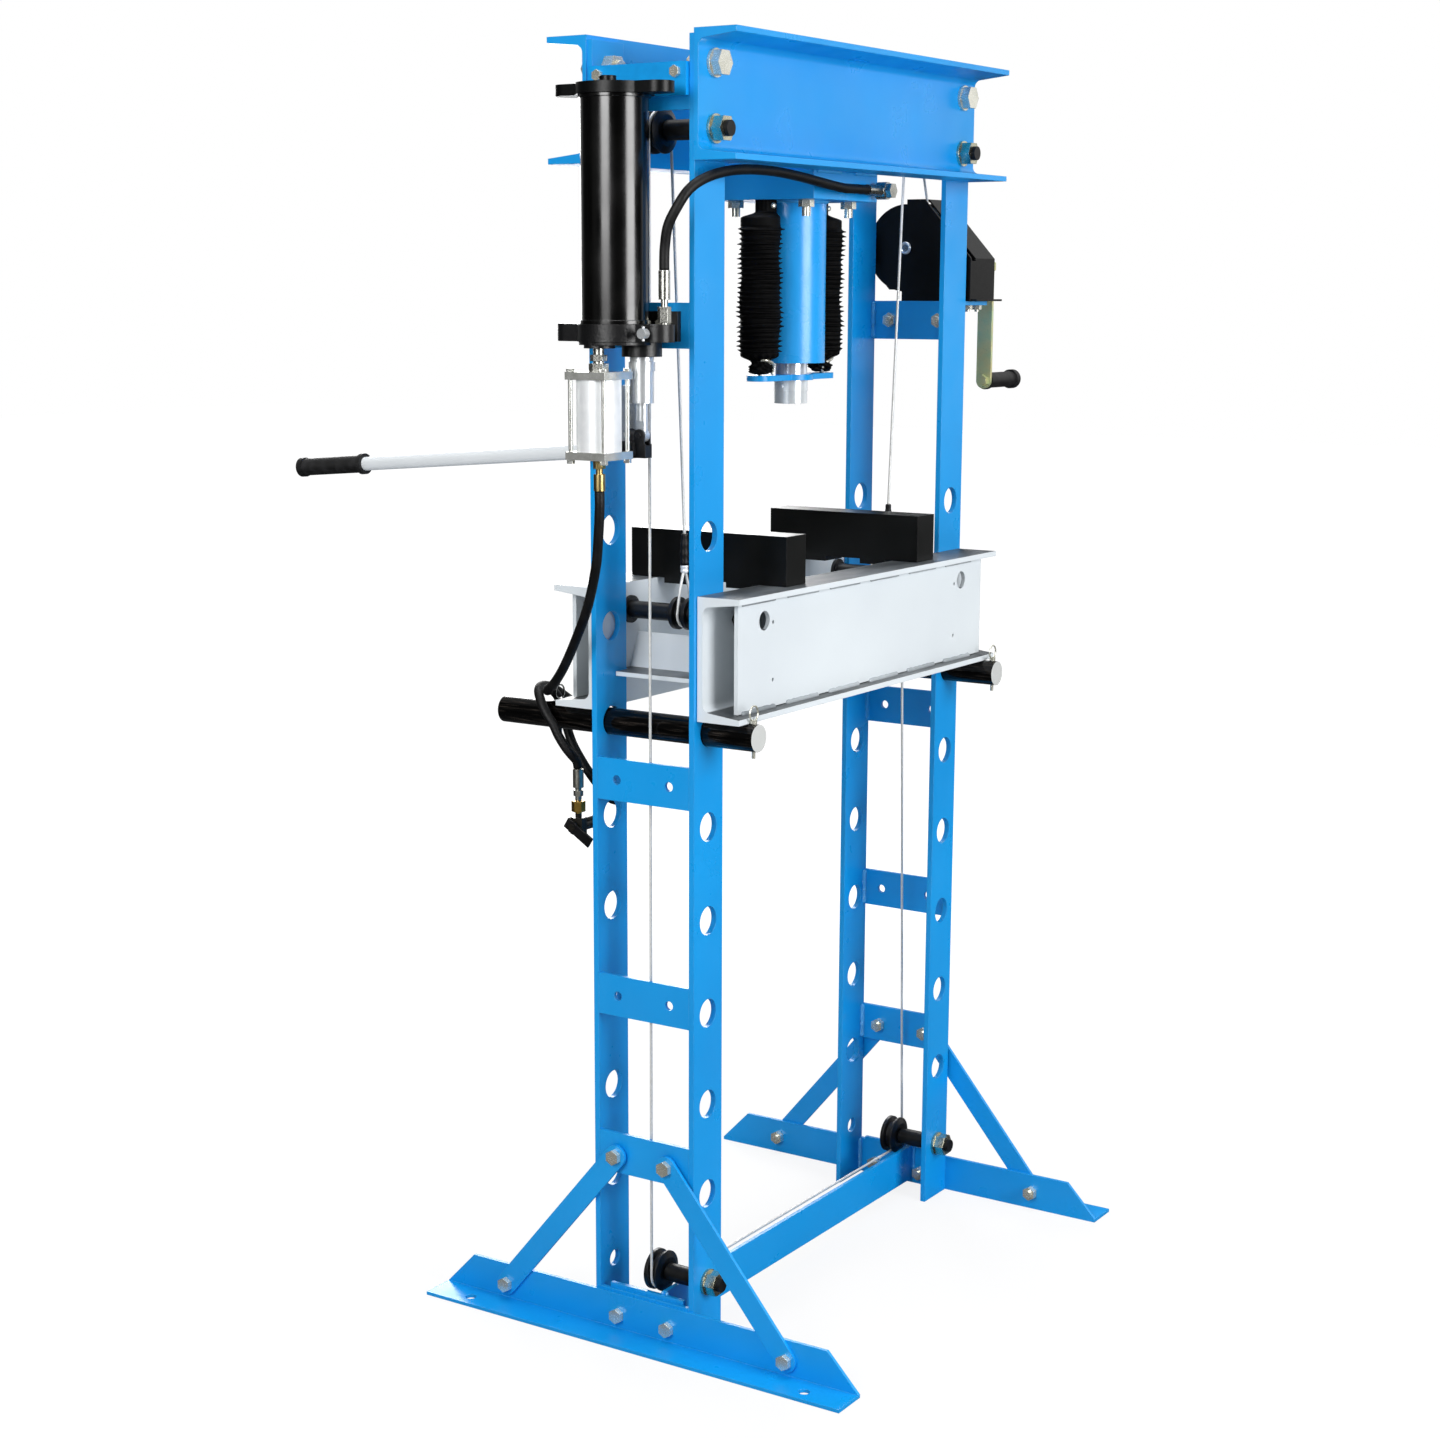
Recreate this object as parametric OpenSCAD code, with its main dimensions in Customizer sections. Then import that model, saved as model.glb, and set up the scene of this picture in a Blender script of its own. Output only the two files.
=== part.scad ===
// Air and hand pumped hydraulic shop press: two side frames, a head with the
// ram, a winched work bed on two pins, and a pump on the left side frame.
// Millimetres. X runs across the press, Y from front to rear, Z up.

/* [Side frames] */
// Outer width over the uprights
frame_w = 746; // [600:2:900]
// Outer depth over the uprights
frame_d = 166; // [140:2:220]
// Height of the uprights
upright_h = 1760; // [1500:5:2000]
// Width of an upright bar
upright_w = 70; // [60:1:90]
// Thickness of an upright bar
upright_t = 8; // [6:0.5:12]
// Diameter of the bed pin holes
pin_hole_d = 40; // [34:0.5:46]
// Height of the lowest row of holes
low_hole_z = 90; // [80:1:110]
// Spacing of the hole rows
hole_pitch = 130; // [110:1:140]
// Diameter of the small hole at the foot of the rear uprights
low_hole_d = 24; // [21.5:0.5:30]
// Height of a cross plate
cross_h = 58; // [40:1:64]
// Thickness of a cross plate
cross_t = 6; // [4:0.5:8]
// Half spacing of the bolt holes in a cross plate
cross_bolt_y = 42.5; // [36:0.5:50]

/* [Feet and braces] */
// Length of a foot
foot_l = 700; // [600:5:900]
// Leg size of the foot angle
foot_leg = 56; // [50:1:70]
// Thickness of the foot angle
foot_t = 5; // [4:0.5:8]
// Size of the cut corners of the upright leg
foot_cut = 49; // [20:1:52]
// Half spacing of the anchor holes along a foot
anchor_y = 284; // [240:1:320]
// Diameter of the anchor holes
anchor_d = 16; // [12:0.5:20]
// Width of a brace bar
brace_w = 32; // [24:1:40]
// Half spacing of the lower brace bolts
brace_low_y = 238; // [200:1:260]
// Height of the upper brace bolts
brace_up_z = 262; // [200:1:300]
// Height of the spreader bar
spread_h = 58; // [40:1:60]

/* [Head] */
// Height of a head channel
head_h = 160; // [140:1:200]
// Flange width of a head channel
head_b = 63; // [55:1:80]
// Web thickness of a head channel
head_web = 6.5; // [5:0.5:10]
// Length of a head channel
head_l = 750; // [750:1:860]
// Height of the head channels above the top of the uprights
head_over = 6; // [0:1:20]
// Outer diameter of the cylinder
barrel_d = 96; // [88:1:104]
// Length of the cylinder below the head block
barrel_l = 223; // [200:1:240]
// Diameter of the ram
ram_d = 46; // [40:1:50]
// Diameter of the ram nose
nose_d = 48; // [44:1:60]
// Distance of the return springs from the ram axis
spring_x = 84; // [80:1:90]
// Distance of the upper spring hooks from the ram axis
hook_x = 70; // [66:1:76]
// Outer diameter of a spring cover
cover_d = 60; // [54:1:62]
// Folds in each spring cover
cover_folds = 30; // [20:1:36]

/* [Bed] */
// Row of holes that carries the bed pins, counted from the top
bed_row = 2; // [1:1:4]
// Height of a bed channel
bed_h = 166; // [150:1:180]
// Flange width of a bed channel
bed_b = 65; // [55:1:75]
// Web thickness of a bed channel
bed_web = 8.5; // [6:0.5:11]
// Length of a bed channel
bed_l = 734; // [700:1:800]
// Sliding gap between a bed web and the uprights
bed_gap = 1; // [0.5:0.1:2]
// Distance of the bed axles from the middle
axle_x = 281; // [240:1:281]
// Diameter of the bed pins
pin_d = 37; // [32:0.5:38]
// Place of the left press plate along the bed
plate_left_x = -190; // [-205:1:-80]
// Place of the right press plate along the bed
plate_right_x = 178; // [80:1:205]
// Height of a press plate above the bed
plate_h = 67.5; // [40:0.5:80]
// Thickness of a press plate
plate_t = 50; // [30:1:60]
// Length of a press plate
plate_l = 254; // [220:1:290]

/* [Rope and pulleys] */
// Diameter of the wire rope
rope_d = 4; // [3:0.5:5]
// Radius of the rope line round a pulley
rope_r = 25; // [22:0.5:25.5]
// Outer diameter of a pulley flange
pulley_d = 58; // [54:0.5:58.5]
// Depth position of the rope line
rope_y = -6; // [-12:0.5:0]
// Radius of the rope line on the winch drum
drum_rope_r = 31; // [26:0.5:34]
// Depth of the winch drum axis below the head channels
winch_drop = 96; // [91:1:101]
// Width of the winch over its side plates
winch_w = 80; // [70:1:100]

/* [Pump and handle] */
// Distance of the pump from the side frame
pump_out = 54; // [52:1:66]
// Outer diameter of the reservoir tube
tank_d = 87; // [70:1:90]
// Length of the reservoir tube
tank_l = 282; // [220:1:300]
// Width of the pump end castings
pump_w = 174; // [150:1:180]
// Length of the handle tube
handle_l = 545; // [400:5:600]
// Diameter of the handle tube
handle_d = 19; // [16:0.5:22]
// Downward lean of the handle in degrees
handle_lean = 4.7; // [0:0.1:10]
// Outer diameter of the air motor barrel
motor_d = 58; // [44:1:60]
// Width of the square air motor ends
motor_w = 62; // [60:1:64]

/* [Hidden] */
$fn = 48;
e = 0.01;
xo = frame_w / 2;
xi = xo - upright_w;
xm = xo - upright_w / 2;
yo = frame_d / 2;
yi = yo - upright_t;
px = xo - cross_t;
bolt_d = 12;
bolt_hole = 13;
foot_bolt_z = 24;
brace_low_z = 27;
brace_t = 5;
foot_out = xo + foot_leg;
anchor_in = 35;
anchor_x = xo + anchor_in;
head_top = upright_h + head_over;
head_bot = head_top - head_h;
// middle heights of the cross plates, from the floor up
low_plate_z = 31;
mid_plate_z = head_bot - 205;
top_plate_z = head_bot + 91;
plate_mid_z = [low_plate_z, 264, 492, 796, mid_plate_z, top_plate_z];
top_bolt_z = top_plate_z + 17;
small_bolt = 8;
small_hole = 9;
head_fl = 10;
block_t = 38;
block_bot = head_bot - block_t;
block_w = 174;
block_x = block_w / 2;
block_y = block_w / 2;
stud_off = 57.5;
barrel_bot = block_bot - barrel_l;
bore_d = 64;
gland_h = 23;
fit = 0.05;
nose_top = barrel_bot - 24;
nose_bot = nose_top - 33;
plate_bar_t = 8;
plate_bar_w = 36;
seat = 0.3;
row_z = low_hole_z + (8 - bed_row) * hole_pitch;
pin_z = row_z - (pin_hole_d - pin_d) / 2 + seat;
bed_bot = pin_z + pin_d / 2 + seat;
bed_top = bed_bot + bed_h;
bed_in = yo + bed_gap;
bed_out = bed_in + bed_b;
bed_fl = 10.5;
axle_z = bed_bot + 128.7;
axle_d = 24;
spool_d = 44;
groove_d = 29;
close_y = bed_out - 15;
close_t = 6;
close_l = bed_l - 42;
low_groove_y = rope_y - 20;
sling_z = axle_z + 108;
low_sling_z = axle_z - 112;
low_sling_x = axle_x + 16;
pulley_z = head_bot + 40;
head_bolt_z = head_top - 40;
groove_r = rope_r - rope_d / 2 - 0.3;
stud_d = 20;
winch_y = rope_y + drum_rope_r;
winch_z = head_bot - winch_drop;
pin_front = yo + 79;
pin_rear = yo + 175;
pin_shift = -8;
clip_front = bed_out + 5;
clip_rear = bed_out + 14;
pump_x = -xo - pump_out;
pump_y = 2;
pump_base_z = head_bot - 225;
pump_base_h = 22;
tank_z = pump_base_z + pump_base_h;
cap_z = tank_z + tank_l;
plunger_x = pump_x + 27;
plunger_y = -20;
motor_x = pump_x - 29;
motor_y = 8;
motor_top = pump_base_z - 37;
motor_bot = motor_top - 111;
plunger_d = 16;
fulcrum_z = pump_base_z - 119;
fulcrum_y = plunger_y + 22;
handle_z0 = fulcrum_z - 17;
slot_play = 2;
white_steel = "#D9E0E6";
blue = "#1E88D8";
dark = "#1A1C1F";
zinc = "#B8BCC0";
steel = "#A9ADB2";

// Free hose line from the pump to the cylinder, chosen by hand, with heights from the
// underside of the head channels
oil_line = [[-422, -70, -136], [-422, -70, -124], [-422, -71, -106], [-424, -77, -82],
  [-421, -88, -60], [-409, -98, -38], [-384, -106, -23], [-343, -112, -13],
  [-293, -115, -9], [-231, -114, -9], [-165, -112, -13], [-95, -109, -19],
  [-40, -106, -23], [0, -104, -23], [28, -104, -23]];
oil_hose_d = 13;
// Free air hose line from the air motor over the left bed pin to the valve, likewise
air_line = [[-456, 8, -414], [-456, 8, -436], [-451, 14, -474], [-443, 24, -514], [-430, 47, -568],
  [-412, 78, -612], [-395, 111, -655], [-384, 136, -682], [-376, 154, -695], [-364, 165, -700],
  [-349, 173, -702], [-332, 179, -706], [-318, 181, -717], [-311, 179, -735], [-311, 172, -758],
  [-312, 161, -782], [-313, 144, -805], [-314, 127, -824], [-314, 109, -841], [-308, 100, -853],
  [-293, 96, -858], [-278, 100, -853], [-272, 109, -841], [-270, 122, -821], [-270, 133, -795],
  [-273, 144, -770], [-279, 156, -748], [-287, 170, -732], [-297, 183, -719], [-309, 192, -708],
  [-324, 195, -701], [-340, 194, -699], [-355, 187, -704], [-364, 176, -716], [-367, 165, -731],
  [-366, 154, -746], [-365, 146, -761], [-362, 136, -777], [-357, 129, -788], [-352, 125, -796],
  [-350, 124, -806]];
air_hose_d = 13;
oil_start = oil_line[0] + [0, 0, head_bot];
oil_x = oil_start[0];
oil_y = oil_start[1];
air_start = air_line[0] + [0, 0, head_bot];
air_end = air_line[len(air_line) - 1] + [0, 0, head_bot];

function unit(v) = v / norm(v);
function spline(p, t) = let (n = len(p) - 1, i = min(floor(t), n - 1), f = t - i,
  a = p[max(i - 1, 0)], b = p[i], c = p[i + 1], d = p[min(i + 2, n)])
  0.5 * (2 * b + (c - a) * f + (2 * a - 5 * b + 4 * c - d) * f * f
  + (3 * b - a - 3 * c + d) * f * f * f);
function sweep_frames(pts, i = 0, side = [1, 0, 0]) = i >= len(pts) ? [] :
  let (t = unit(pts[min(i + 1, len(pts) - 1)] - pts[max(i - 1, 0)]),
    s = unit(side - t * (side * t)))
  concat([[s, cross(t, s)]], sweep_frames(pts, i + 1, s));

// Round tube through a line of points, one closed body
module tube(pts, d, sides, start) {
  rings = len(pts) - 1;
  fr = sweep_frames(pts, 0, start);
  v = [for (i = [0:rings]) for (k = [0:sides - 1])
    pts[i] + (fr[i][0] * cos(360 * k / sides) + fr[i][1] * sin(360 * k / sides)) * d / 2];
  q = [for (i = [0:rings - 1]) for (k = [0:sides - 1]) let (a = i * sides + k,
    b = i * sides + (k + 1) % sides) [[a, b, b + sides], [a, b + sides, a + sides]]];
  f = concat([for (c = q) c[0]], [for (c = q) c[1]],
    [[for (k = [0:sides - 1]) sides - 1 - k]],
    [[for (k = [0:sides - 1]) rings * sides + k]]);
  polyhedron(v, [for (c = f) [for (k = [len(c) - 1:-1:0]) c[k]]]);
}

// Round hose along a smooth line near hand-set points
module hose(line, d, rings, sides, start) {
  n = len(line) - 1;
  tube([for (i = [0:rings]) spline(line, i * n / rings)], d, sides, start);
}

// Turned body of a closed outline of radius, height and sideways shift
module turned(outline, sides) {
  n = len(outline);
  v = [for (k = [0:sides - 1]) for (p = outline)
    [p[0] * cos(360 * k / sides) - p[2], p[0] * sin(360 * k / sides), p[1]]];
  f = [for (k = [0:sides - 1]) for (i = [0:n - 1]) let (a = k * n + i, b = k * n + (i + 1) % n,
    c = ((k + 1) % sides) * n + i, d = ((k + 1) % sides) * n + (i + 1) % n)
    each [[a, c, d], [a, d, b]]];
  polyhedron(v, f);
}

module along_x(x, y, z) {
  translate([x, y, z]) rotate([0, 90, 0]) children();
}

module along_y(x, y, z) {
  translate([x, y, z]) rotate([-90, 0, 0]) children();
}

module rod_x(x0, x1, y, z, d) {
  along_x(x0, y, z) cylinder(h = x1 - x0, d = d);
}

module rod_y(y0, y1, x, z, d) {
  along_y(x, y0, z) cylinder(h = y1 - y0, d = d);
}

module rod_z(z0, z1, x, y, d) {
  translate([x, y, z0]) cylinder(h = z1 - z0, d = d);
}

module hex(h, flats) {
  cylinder(h = h, d = flats / cos(30), $fn = 6);
}

module both_sides() {
  children();
  mirror([1, 0, 0]) children();
}

module front_rear() {
  children();
  mirror([0, 1, 0]) children();
}

// Straight round bar between two points
module rod(a, b, d) {
  v = b - a;
  translate(a) rotate([0, acos(v[2] / norm(v)), atan2(v[1], v[0])])
    cylinder(h = norm(v), d = d);
}

// Channel section: web on the left edge, flanges to the right, sloped inside
module channel_section(h, b, web, fl) {
  r = fl;
  thin = fl * 0.72;
  deep = fl * 1.22;
  difference() {
    square([b, h]);
    polygon([[web, deep + r], [web + r, deep], [b + 1, thin], [b + 1, h - thin],
      [web + r, h - deep], [web, h - deep - r]]);
    translate([web + r, deep + r]) circle(r);
    translate([web + r, h - deep - r]) circle(r);
  }
}

// Channel lying along X with its web at y and its flanges toward the front
module channel_front(y, z, h, b, web, fl, l) {
  translate([-l / 2, -y, z]) rotate([90, 0, 90]) mirror([1, 0, 0])
    linear_extrude(l) channel_section(h, b, web, fl);
}

// One upright on the right at the front
module upright_body() {
  difference() {
    translate([xi, -yo, 0]) cube([upright_w, upright_t, upright_h]);
    for (k = [0:7])
      rod_y(-yo - 1, -yi + 1, xm, low_hole_z + (8 - k) * hole_pitch, pin_hole_d);
    rod_y(-yo - 1, -yi + 1, xm, head_bolt_z, stud_d + 1);
    rod_y(-yo - 1, -yi + 1, xm, pulley_z, stud_d + 1);
    children();
  }
}

module upright_front_right() {
  color(blue) upright_body() rod_y(-yo - 1, -yi + 1, xm, low_hole_z, stud_d + 1);
}

module upright_front_left() {
  color(blue) mirror([1, 0, 0]) upright_body()
    rod_y(-yo - 1, -yi + 1, xm, low_hole_z, stud_d + 1);
}

module upright_rear_right() {
  color(blue) mirror([0, 1, 0]) upright_body()
    rod_y(-yo - 1, -yi + 1, xm, low_hole_z, low_hole_d);
}

module upright_rear_left() {
  color(blue) mirror([0, 1, 0]) mirror([1, 0, 0]) upright_body()
    rod_y(-yo - 1, -yi + 1, xm, low_hole_z, low_hole_d);
}

module cross_plates() {
  color(blue) both_sides() for (i = [0:5]) difference() {
    translate([px, -yi, plate_mid_z[i] - cross_h / 2]) cube([cross_t, 2 * yi, cross_h]);
    for (s = [-1, 1])
      rod_x(px - 1, xo + 1, s * (i == 5 ? 60 : cross_bolt_y),
        i == 0 ? foot_bolt_z : (i == 1 ? brace_up_z : (i == 5 ? top_bolt_z : plate_mid_z[i])),
        i == 5 ? small_hole : bolt_hole);
  }
}

module foot_right() {
  color(blue) difference() {
    union() {
      translate([xo, -foot_l / 2, 0]) cube([foot_leg, foot_l, foot_t]);
      translate([xo + foot_t, 0, 0]) rotate([0, -90, 0]) linear_extrude(foot_t)
        polygon([[0, -foot_l / 2], [0, foot_l / 2], [foot_t, foot_l / 2],
          [foot_leg, foot_l / 2 - foot_cut], [foot_leg, -foot_l / 2 + foot_cut],
          [foot_t, -foot_l / 2]]);
    }
    for (s = [-1, 1]) {
      rod_z(-1, foot_t + 1, anchor_x, s * anchor_y, anchor_d);
      rod_x(xo - 1, xo + foot_t + 1, s * cross_bolt_y, foot_bolt_z, bolt_hole);
      rod_x(xo - 1, xo + foot_t + 1, s * brace_low_y, brace_low_z, bolt_hole);
    }
  }
}

module foot_left() {
  mirror([1, 0, 0]) foot_right();
}

brace_x = xo + foot_t;
module brace_bars() {
  dy = brace_low_y - cross_bolt_y;
  dz = brace_up_z - brace_low_z;
  len_b = sqrt(dy * dy + dz * dz);
  color(blue) both_sides() front_rear() {
    difference() {
      translate([brace_x, cross_bolt_y, brace_up_z]) rotate([atan2(-dz, dy), 0, 0]) {
        translate([0, 0, -brace_w / 2]) cube([brace_t, len_b, brace_w]);
        rotate([0, 90, 0]) cylinder(h = brace_t, d = brace_w);
        translate([0, len_b, 0]) rotate([0, 90, 0]) cylinder(h = brace_t, d = brace_w);
      }
      rod_x(xo, brace_x + brace_t + 1, cross_bolt_y, brace_up_z, bolt_hole);
      rod_x(xo, brace_x + brace_t + 1, brace_low_y, brace_low_z, bolt_hole);
    }
    difference() {
      rod_x(xo, brace_x, cross_bolt_y, brace_up_z, 24);
      rod_x(xo - 1, brace_x + 1, cross_bolt_y, brace_up_z, bolt_hole);
    }
  }
}

end_plate_t = 6;
module spreader_bar() {
  color(blue) {
    translate([-px + end_plate_t, -30, 13])
      cube([2 * (px - end_plate_t), 6, spread_h]);
    both_sides() difference() {
      translate([px - end_plate_t, -62, 4]) cube([end_plate_t, 124, spread_h + 4]);
      for (s = [-1, 1])
        rod_x(px - 10, px + 1, s * cross_bolt_y, foot_bolt_z, bolt_hole);
    }
  }
}

// Hexagon bolt along X with its head at x1 and its nut at x0
module bolt_x(x0, x1, y, z) {
  rod_x(x0 - 14, x1, y, z, bolt_d);
  along_x(x1, y, z) hex(8, 19);
  along_x(x0 - 10, y, z) hex(10, 19);
}

// Large bolt along Y in the head, head outside, nut inside
module head_bolt(x, z) {
  rod_y(-yo - head_web, -yi + 22, x, z, stud_d);
  along_y(x, -yo - head_web - 4, z) cylinder(h = 4, d = 36);
  along_y(x, -yo - head_web - 17, z) hex(13, 30);
  along_y(x, -yi, z) hex(16, 30);
}

module frame_bolts() {
  color(zinc) {
    both_sides() for (s = [-1, 1]) {
      bolt_x(px - end_plate_t, xo + foot_t, s * cross_bolt_y, foot_bolt_z);
      bolt_x(px, brace_x + brace_t, s * cross_bolt_y, brace_up_z);
      bolt_x(xo, brace_x + brace_t, s * brace_low_y, brace_low_z);
    }
    for (s = [-1, 1]) {
      bolt_x(px, xo + 6, s * cross_bolt_y, mid_plate_z);
      mirror([1, 0, 0]) bolt_x(px, xo + 8, s * cross_bolt_y, mid_plate_z);
      rod_x(-xo - 8, -px + 12, s * 60, top_bolt_z, small_bolt);
      along_x(-xo - 13.5, s * 60, top_bolt_z) hex(5.5, 13);
      along_x(-px, s * 60, top_bolt_z) hex(6.5, 13);
    }
    both_sides() {
      head_bolt(xm, head_bolt_z);
      mirror([0, 1, 0]) head_bolt(xm, head_bolt_z);
      mirror([0, 1, 0]) head_bolt(xm, pulley_z);
    }
    for (x = [-stud_off, stud_off]) for (y = [-stud_off, stud_off]) {
      rod_z(block_bot - 22, head_bot + 12, x, y, 12);
      translate([x, y, block_bot - 10]) hex(10, 19);
      translate([x, y, head_bot + 12]) hex(8, 19);
    }
  }
}

module head_channel() {
  difference() {
    channel_front(yo, head_bot, head_h, head_b, head_web, head_fl, head_l);
    for (s = [-1, 1]) for (z = [head_bolt_z, pulley_z])
      rod_y(-yo - head_web - 1, -yo + 1, s * xm, z, stud_d + 1);
  }
}

module head_beam_front() {
  color(blue) head_channel();
}

module head_beam_rear() {
  color(blue) mirror([0, 1, 0]) head_channel();
}

port_x = 74;
port_z = block_bot + 16;
module head_block() {
  color(blue) difference() {
    translate([-block_x, -block_y, block_bot]) cube([2 * block_x, 2 * block_y, block_t]);
    rod_z(block_bot - 1, head_bot + 1, 0, 0, 80);
    for (x = [-stud_off, stud_off]) for (y = [-stud_off, stud_off])
      rod_z(block_bot - 1, head_bot + 1, x, y, bolt_hole);
    rod_y(-block_y - 1, -block_y + 24, port_x, port_z, 10);
    for (s = [-1, 1]) rod_z(block_bot - 1, block_bot + 14, s * hook_x, 0, 8);
  }
}

module cylinder_barrel() {
  color(blue) difference() {
    union() {
      rod_z(barrel_bot, block_bot, 0, 0, barrel_d);
      rod_z(block_bot - e, head_bot + e, 0, 0, 80);
      translate([-74, -74, head_bot]) cube([148, 148, 12]);
    }
    rod_z(barrel_bot + gland_h, head_bot - 4, 0, 0, bore_d);
    rod_z(barrel_bot - 1, barrel_bot + gland_h + 1, 0, 0, ram_d + 2 * fit);
    for (x = [-stud_off, stud_off]) for (y = [-stud_off, stud_off])
      rod_z(head_bot - 1, head_bot + 13, x, y, bolt_hole);
  }
}

module ram_rod() {
  color(steel) {
    rod_z(nose_top - 12, head_bot - 24, 0, 0, ram_d);
    rod_z(head_bot - 26, head_bot - 6, 0, 0, bore_d - 2 * fit);
  }
}

module ram_nose() {
  color(steel) difference() {
    union() {
      rod_z(nose_bot, nose_bot + 17, 0, 0, nose_d - 1);
      rod_z(nose_bot + 17 - e, nose_top, 0, 0, nose_d);
      rod_x(-nose_d / 2 - 3, -nose_d / 2 + 2, 0, nose_top - 9, 5);
    }
    rod_z(nose_top - 12, nose_top + 1, 0, 0, ram_d);
  }
}

module spring_plate() {
  color(blue) difference() {
    union() {
      translate([-spring_x, -plate_bar_w / 2, nose_top])
        cube([2 * spring_x, plate_bar_w, plate_bar_t]);
      for (s = [-1, 1]) rod_z(nose_top, nose_top + plate_bar_t, s * spring_x, 0, plate_bar_w);
      rod_z(nose_top, nose_top + plate_bar_t, 0, 0, 64);
    }
    rod_z(nose_top - 1, nose_top + plate_bar_t + 1, 0, 0, ram_d);
    for (s = [-1, 1]) rod_z(nose_top - 1, nose_top + plate_bar_t + 1, s * spring_x, 0, 8);
  }
}

cover_bot = barrel_bot + 8;
cover_top = block_bot - 22;
module spring_covers() {
  pitch = (cover_top - cover_bot) / cover_folds;
  neck = spring_x - hook_x;
  outer = [for (i = [0:cover_folds - 1]) each [
    [cover_d / 2 - 3, cover_bot + (i + 0.02) * pitch, 0],
    [cover_d / 2, cover_bot + (i + 0.5) * pitch, 0]]];
  outline = concat([[14, cover_bot - 12, 0]], outer, [[cover_d / 2 - 3, cover_top, 0],
    [15, cover_top + 5, neck * 0.8], [15, block_bot - seat, neck], [11, block_bot - seat, neck],
    [11, cover_top + 6, neck * 0.8], [22, cover_top - 2, 0], [22, cover_bot + 2, 0],
    [11, cover_bot - 12, 0]]);
  echo(least_fold = pitch);
  color(dark) for (s = [0, 1]) mirror([s, 0, 0]) translate([spring_x, 0, 0])
    turned(outline, 8);
}

module return_springs() {
  color(steel) for (s = [-1, 1]) translate([s * spring_x, 0, 0]) {
    difference() {
      rod_z(cover_bot + 6, cover_top - 6, 0, 0, 36);
      rod_z(cover_bot + 5, cover_top - 5, 0, 0, 26);
    }
    difference() {
      union() {
        rod_z(cover_top - 12, cover_top - 6, 0, 0, 36);
        rod_z(cover_bot + 6, cover_bot + 12, 0, 0, 36);
      }
      rod_z(cover_top - 13, cover_top - 5, 0, 0, 4);
      rod_z(cover_bot + 5, cover_bot + 13, 0, 0, 4);
    }
    rod([0, 0, cover_top - 10], [s * (hook_x - spring_x), 0, cover_top + 8], 6);
    rod([s * (hook_x - spring_x), 0, cover_top + 5],
      [s * (hook_x - spring_x), 0, block_bot + 14], 6);
    rod_z(nose_top + 1, cover_bot + 12, 0, 0, 6);
  }
}

// Bar with round ends and a round middle, seen from above
module pump_outline(h, mid, ear_w) {
  translate([0, -pump_w / 2 + ear_w / 2, 0]) cylinder(h = h, d = ear_w);
  translate([0, pump_w / 2 - ear_w / 2, 0]) cylinder(h = h, d = ear_w);
  translate([-ear_w / 2, -pump_w / 2 + ear_w / 2, 0]) cube([ear_w, pump_w - ear_w, h]);
  cylinder(h = h, d = mid);
}

module pump_top_cap() {
  color(dark) difference() {
    union() {
      translate([pump_x, pump_y, cap_z]) pump_outline(14, 98, 40);
      translate([pump_x, -28, cap_z]) cube([pump_out - 8 + e, 56, 14]);
      translate([-xo - 8, -yi, cap_z]) cube([8, 2 * yi, top_plate_z + cross_h / 2 - cap_z]);
      rod_z(cap_z + 14, cap_z + 22, pump_x - 14, pump_y, 22);
    }
    for (s = [-1, 1])
      rod_x(-xo - 9, -xo + 1, s * 60, top_bolt_z, small_hole);
  }
}

module reservoir_tube() {
  color(dark) difference() {
    union() {
      rod_z(tank_z, cap_z, pump_x, pump_y, tank_d);
      rod_z(cap_z - 4, cap_z, pump_x, pump_y, tank_d + 5);
      rod_z(tank_z, tank_z + 5, pump_x, pump_y, tank_d + 4);
    }
    rod_z(tank_z + 4, cap_z - 4, pump_x, pump_y, tank_d - 6);
  }
}

knob_y = -61;
module pump_base() {
  color(dark) difference() {
    union() {
      translate([pump_x, pump_y, pump_base_z]) pump_outline(pump_base_h, 98, 40);
      translate([pump_x, -28, pump_base_z]) cube([pump_out - 8 + e, 56, pump_base_h]);
      translate([-xo - 8, -62, pump_base_z]) cube([8, 124, 38]);
      rod_z(pump_base_z - 19, pump_base_z + e, plunger_x, plunger_y, 52);
      rod_z(pump_base_z - 8, pump_base_z + e, motor_x + 2, motor_y, 40);
      rod_z(pump_base_z - 4, pump_base_z + e, pump_x, pump_y, 94);
    }
    for (s = [-1, 1])
      rod_x(-xo - 9, -xo + 1, s * cross_bolt_y, mid_plate_z, bolt_hole);
    rod_z(pump_base_z - 20, pump_base_z + 8, plunger_x, plunger_y, plunger_d + 2 * fit);
    rod_z(pump_base_z + 8, pump_base_z + 30, oil_x, oil_y, 8);
    rod_x(pump_x - 21, pump_x - 4, knob_y, pump_base_z + 11, 8 + 2 * fit);
  }
}

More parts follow.
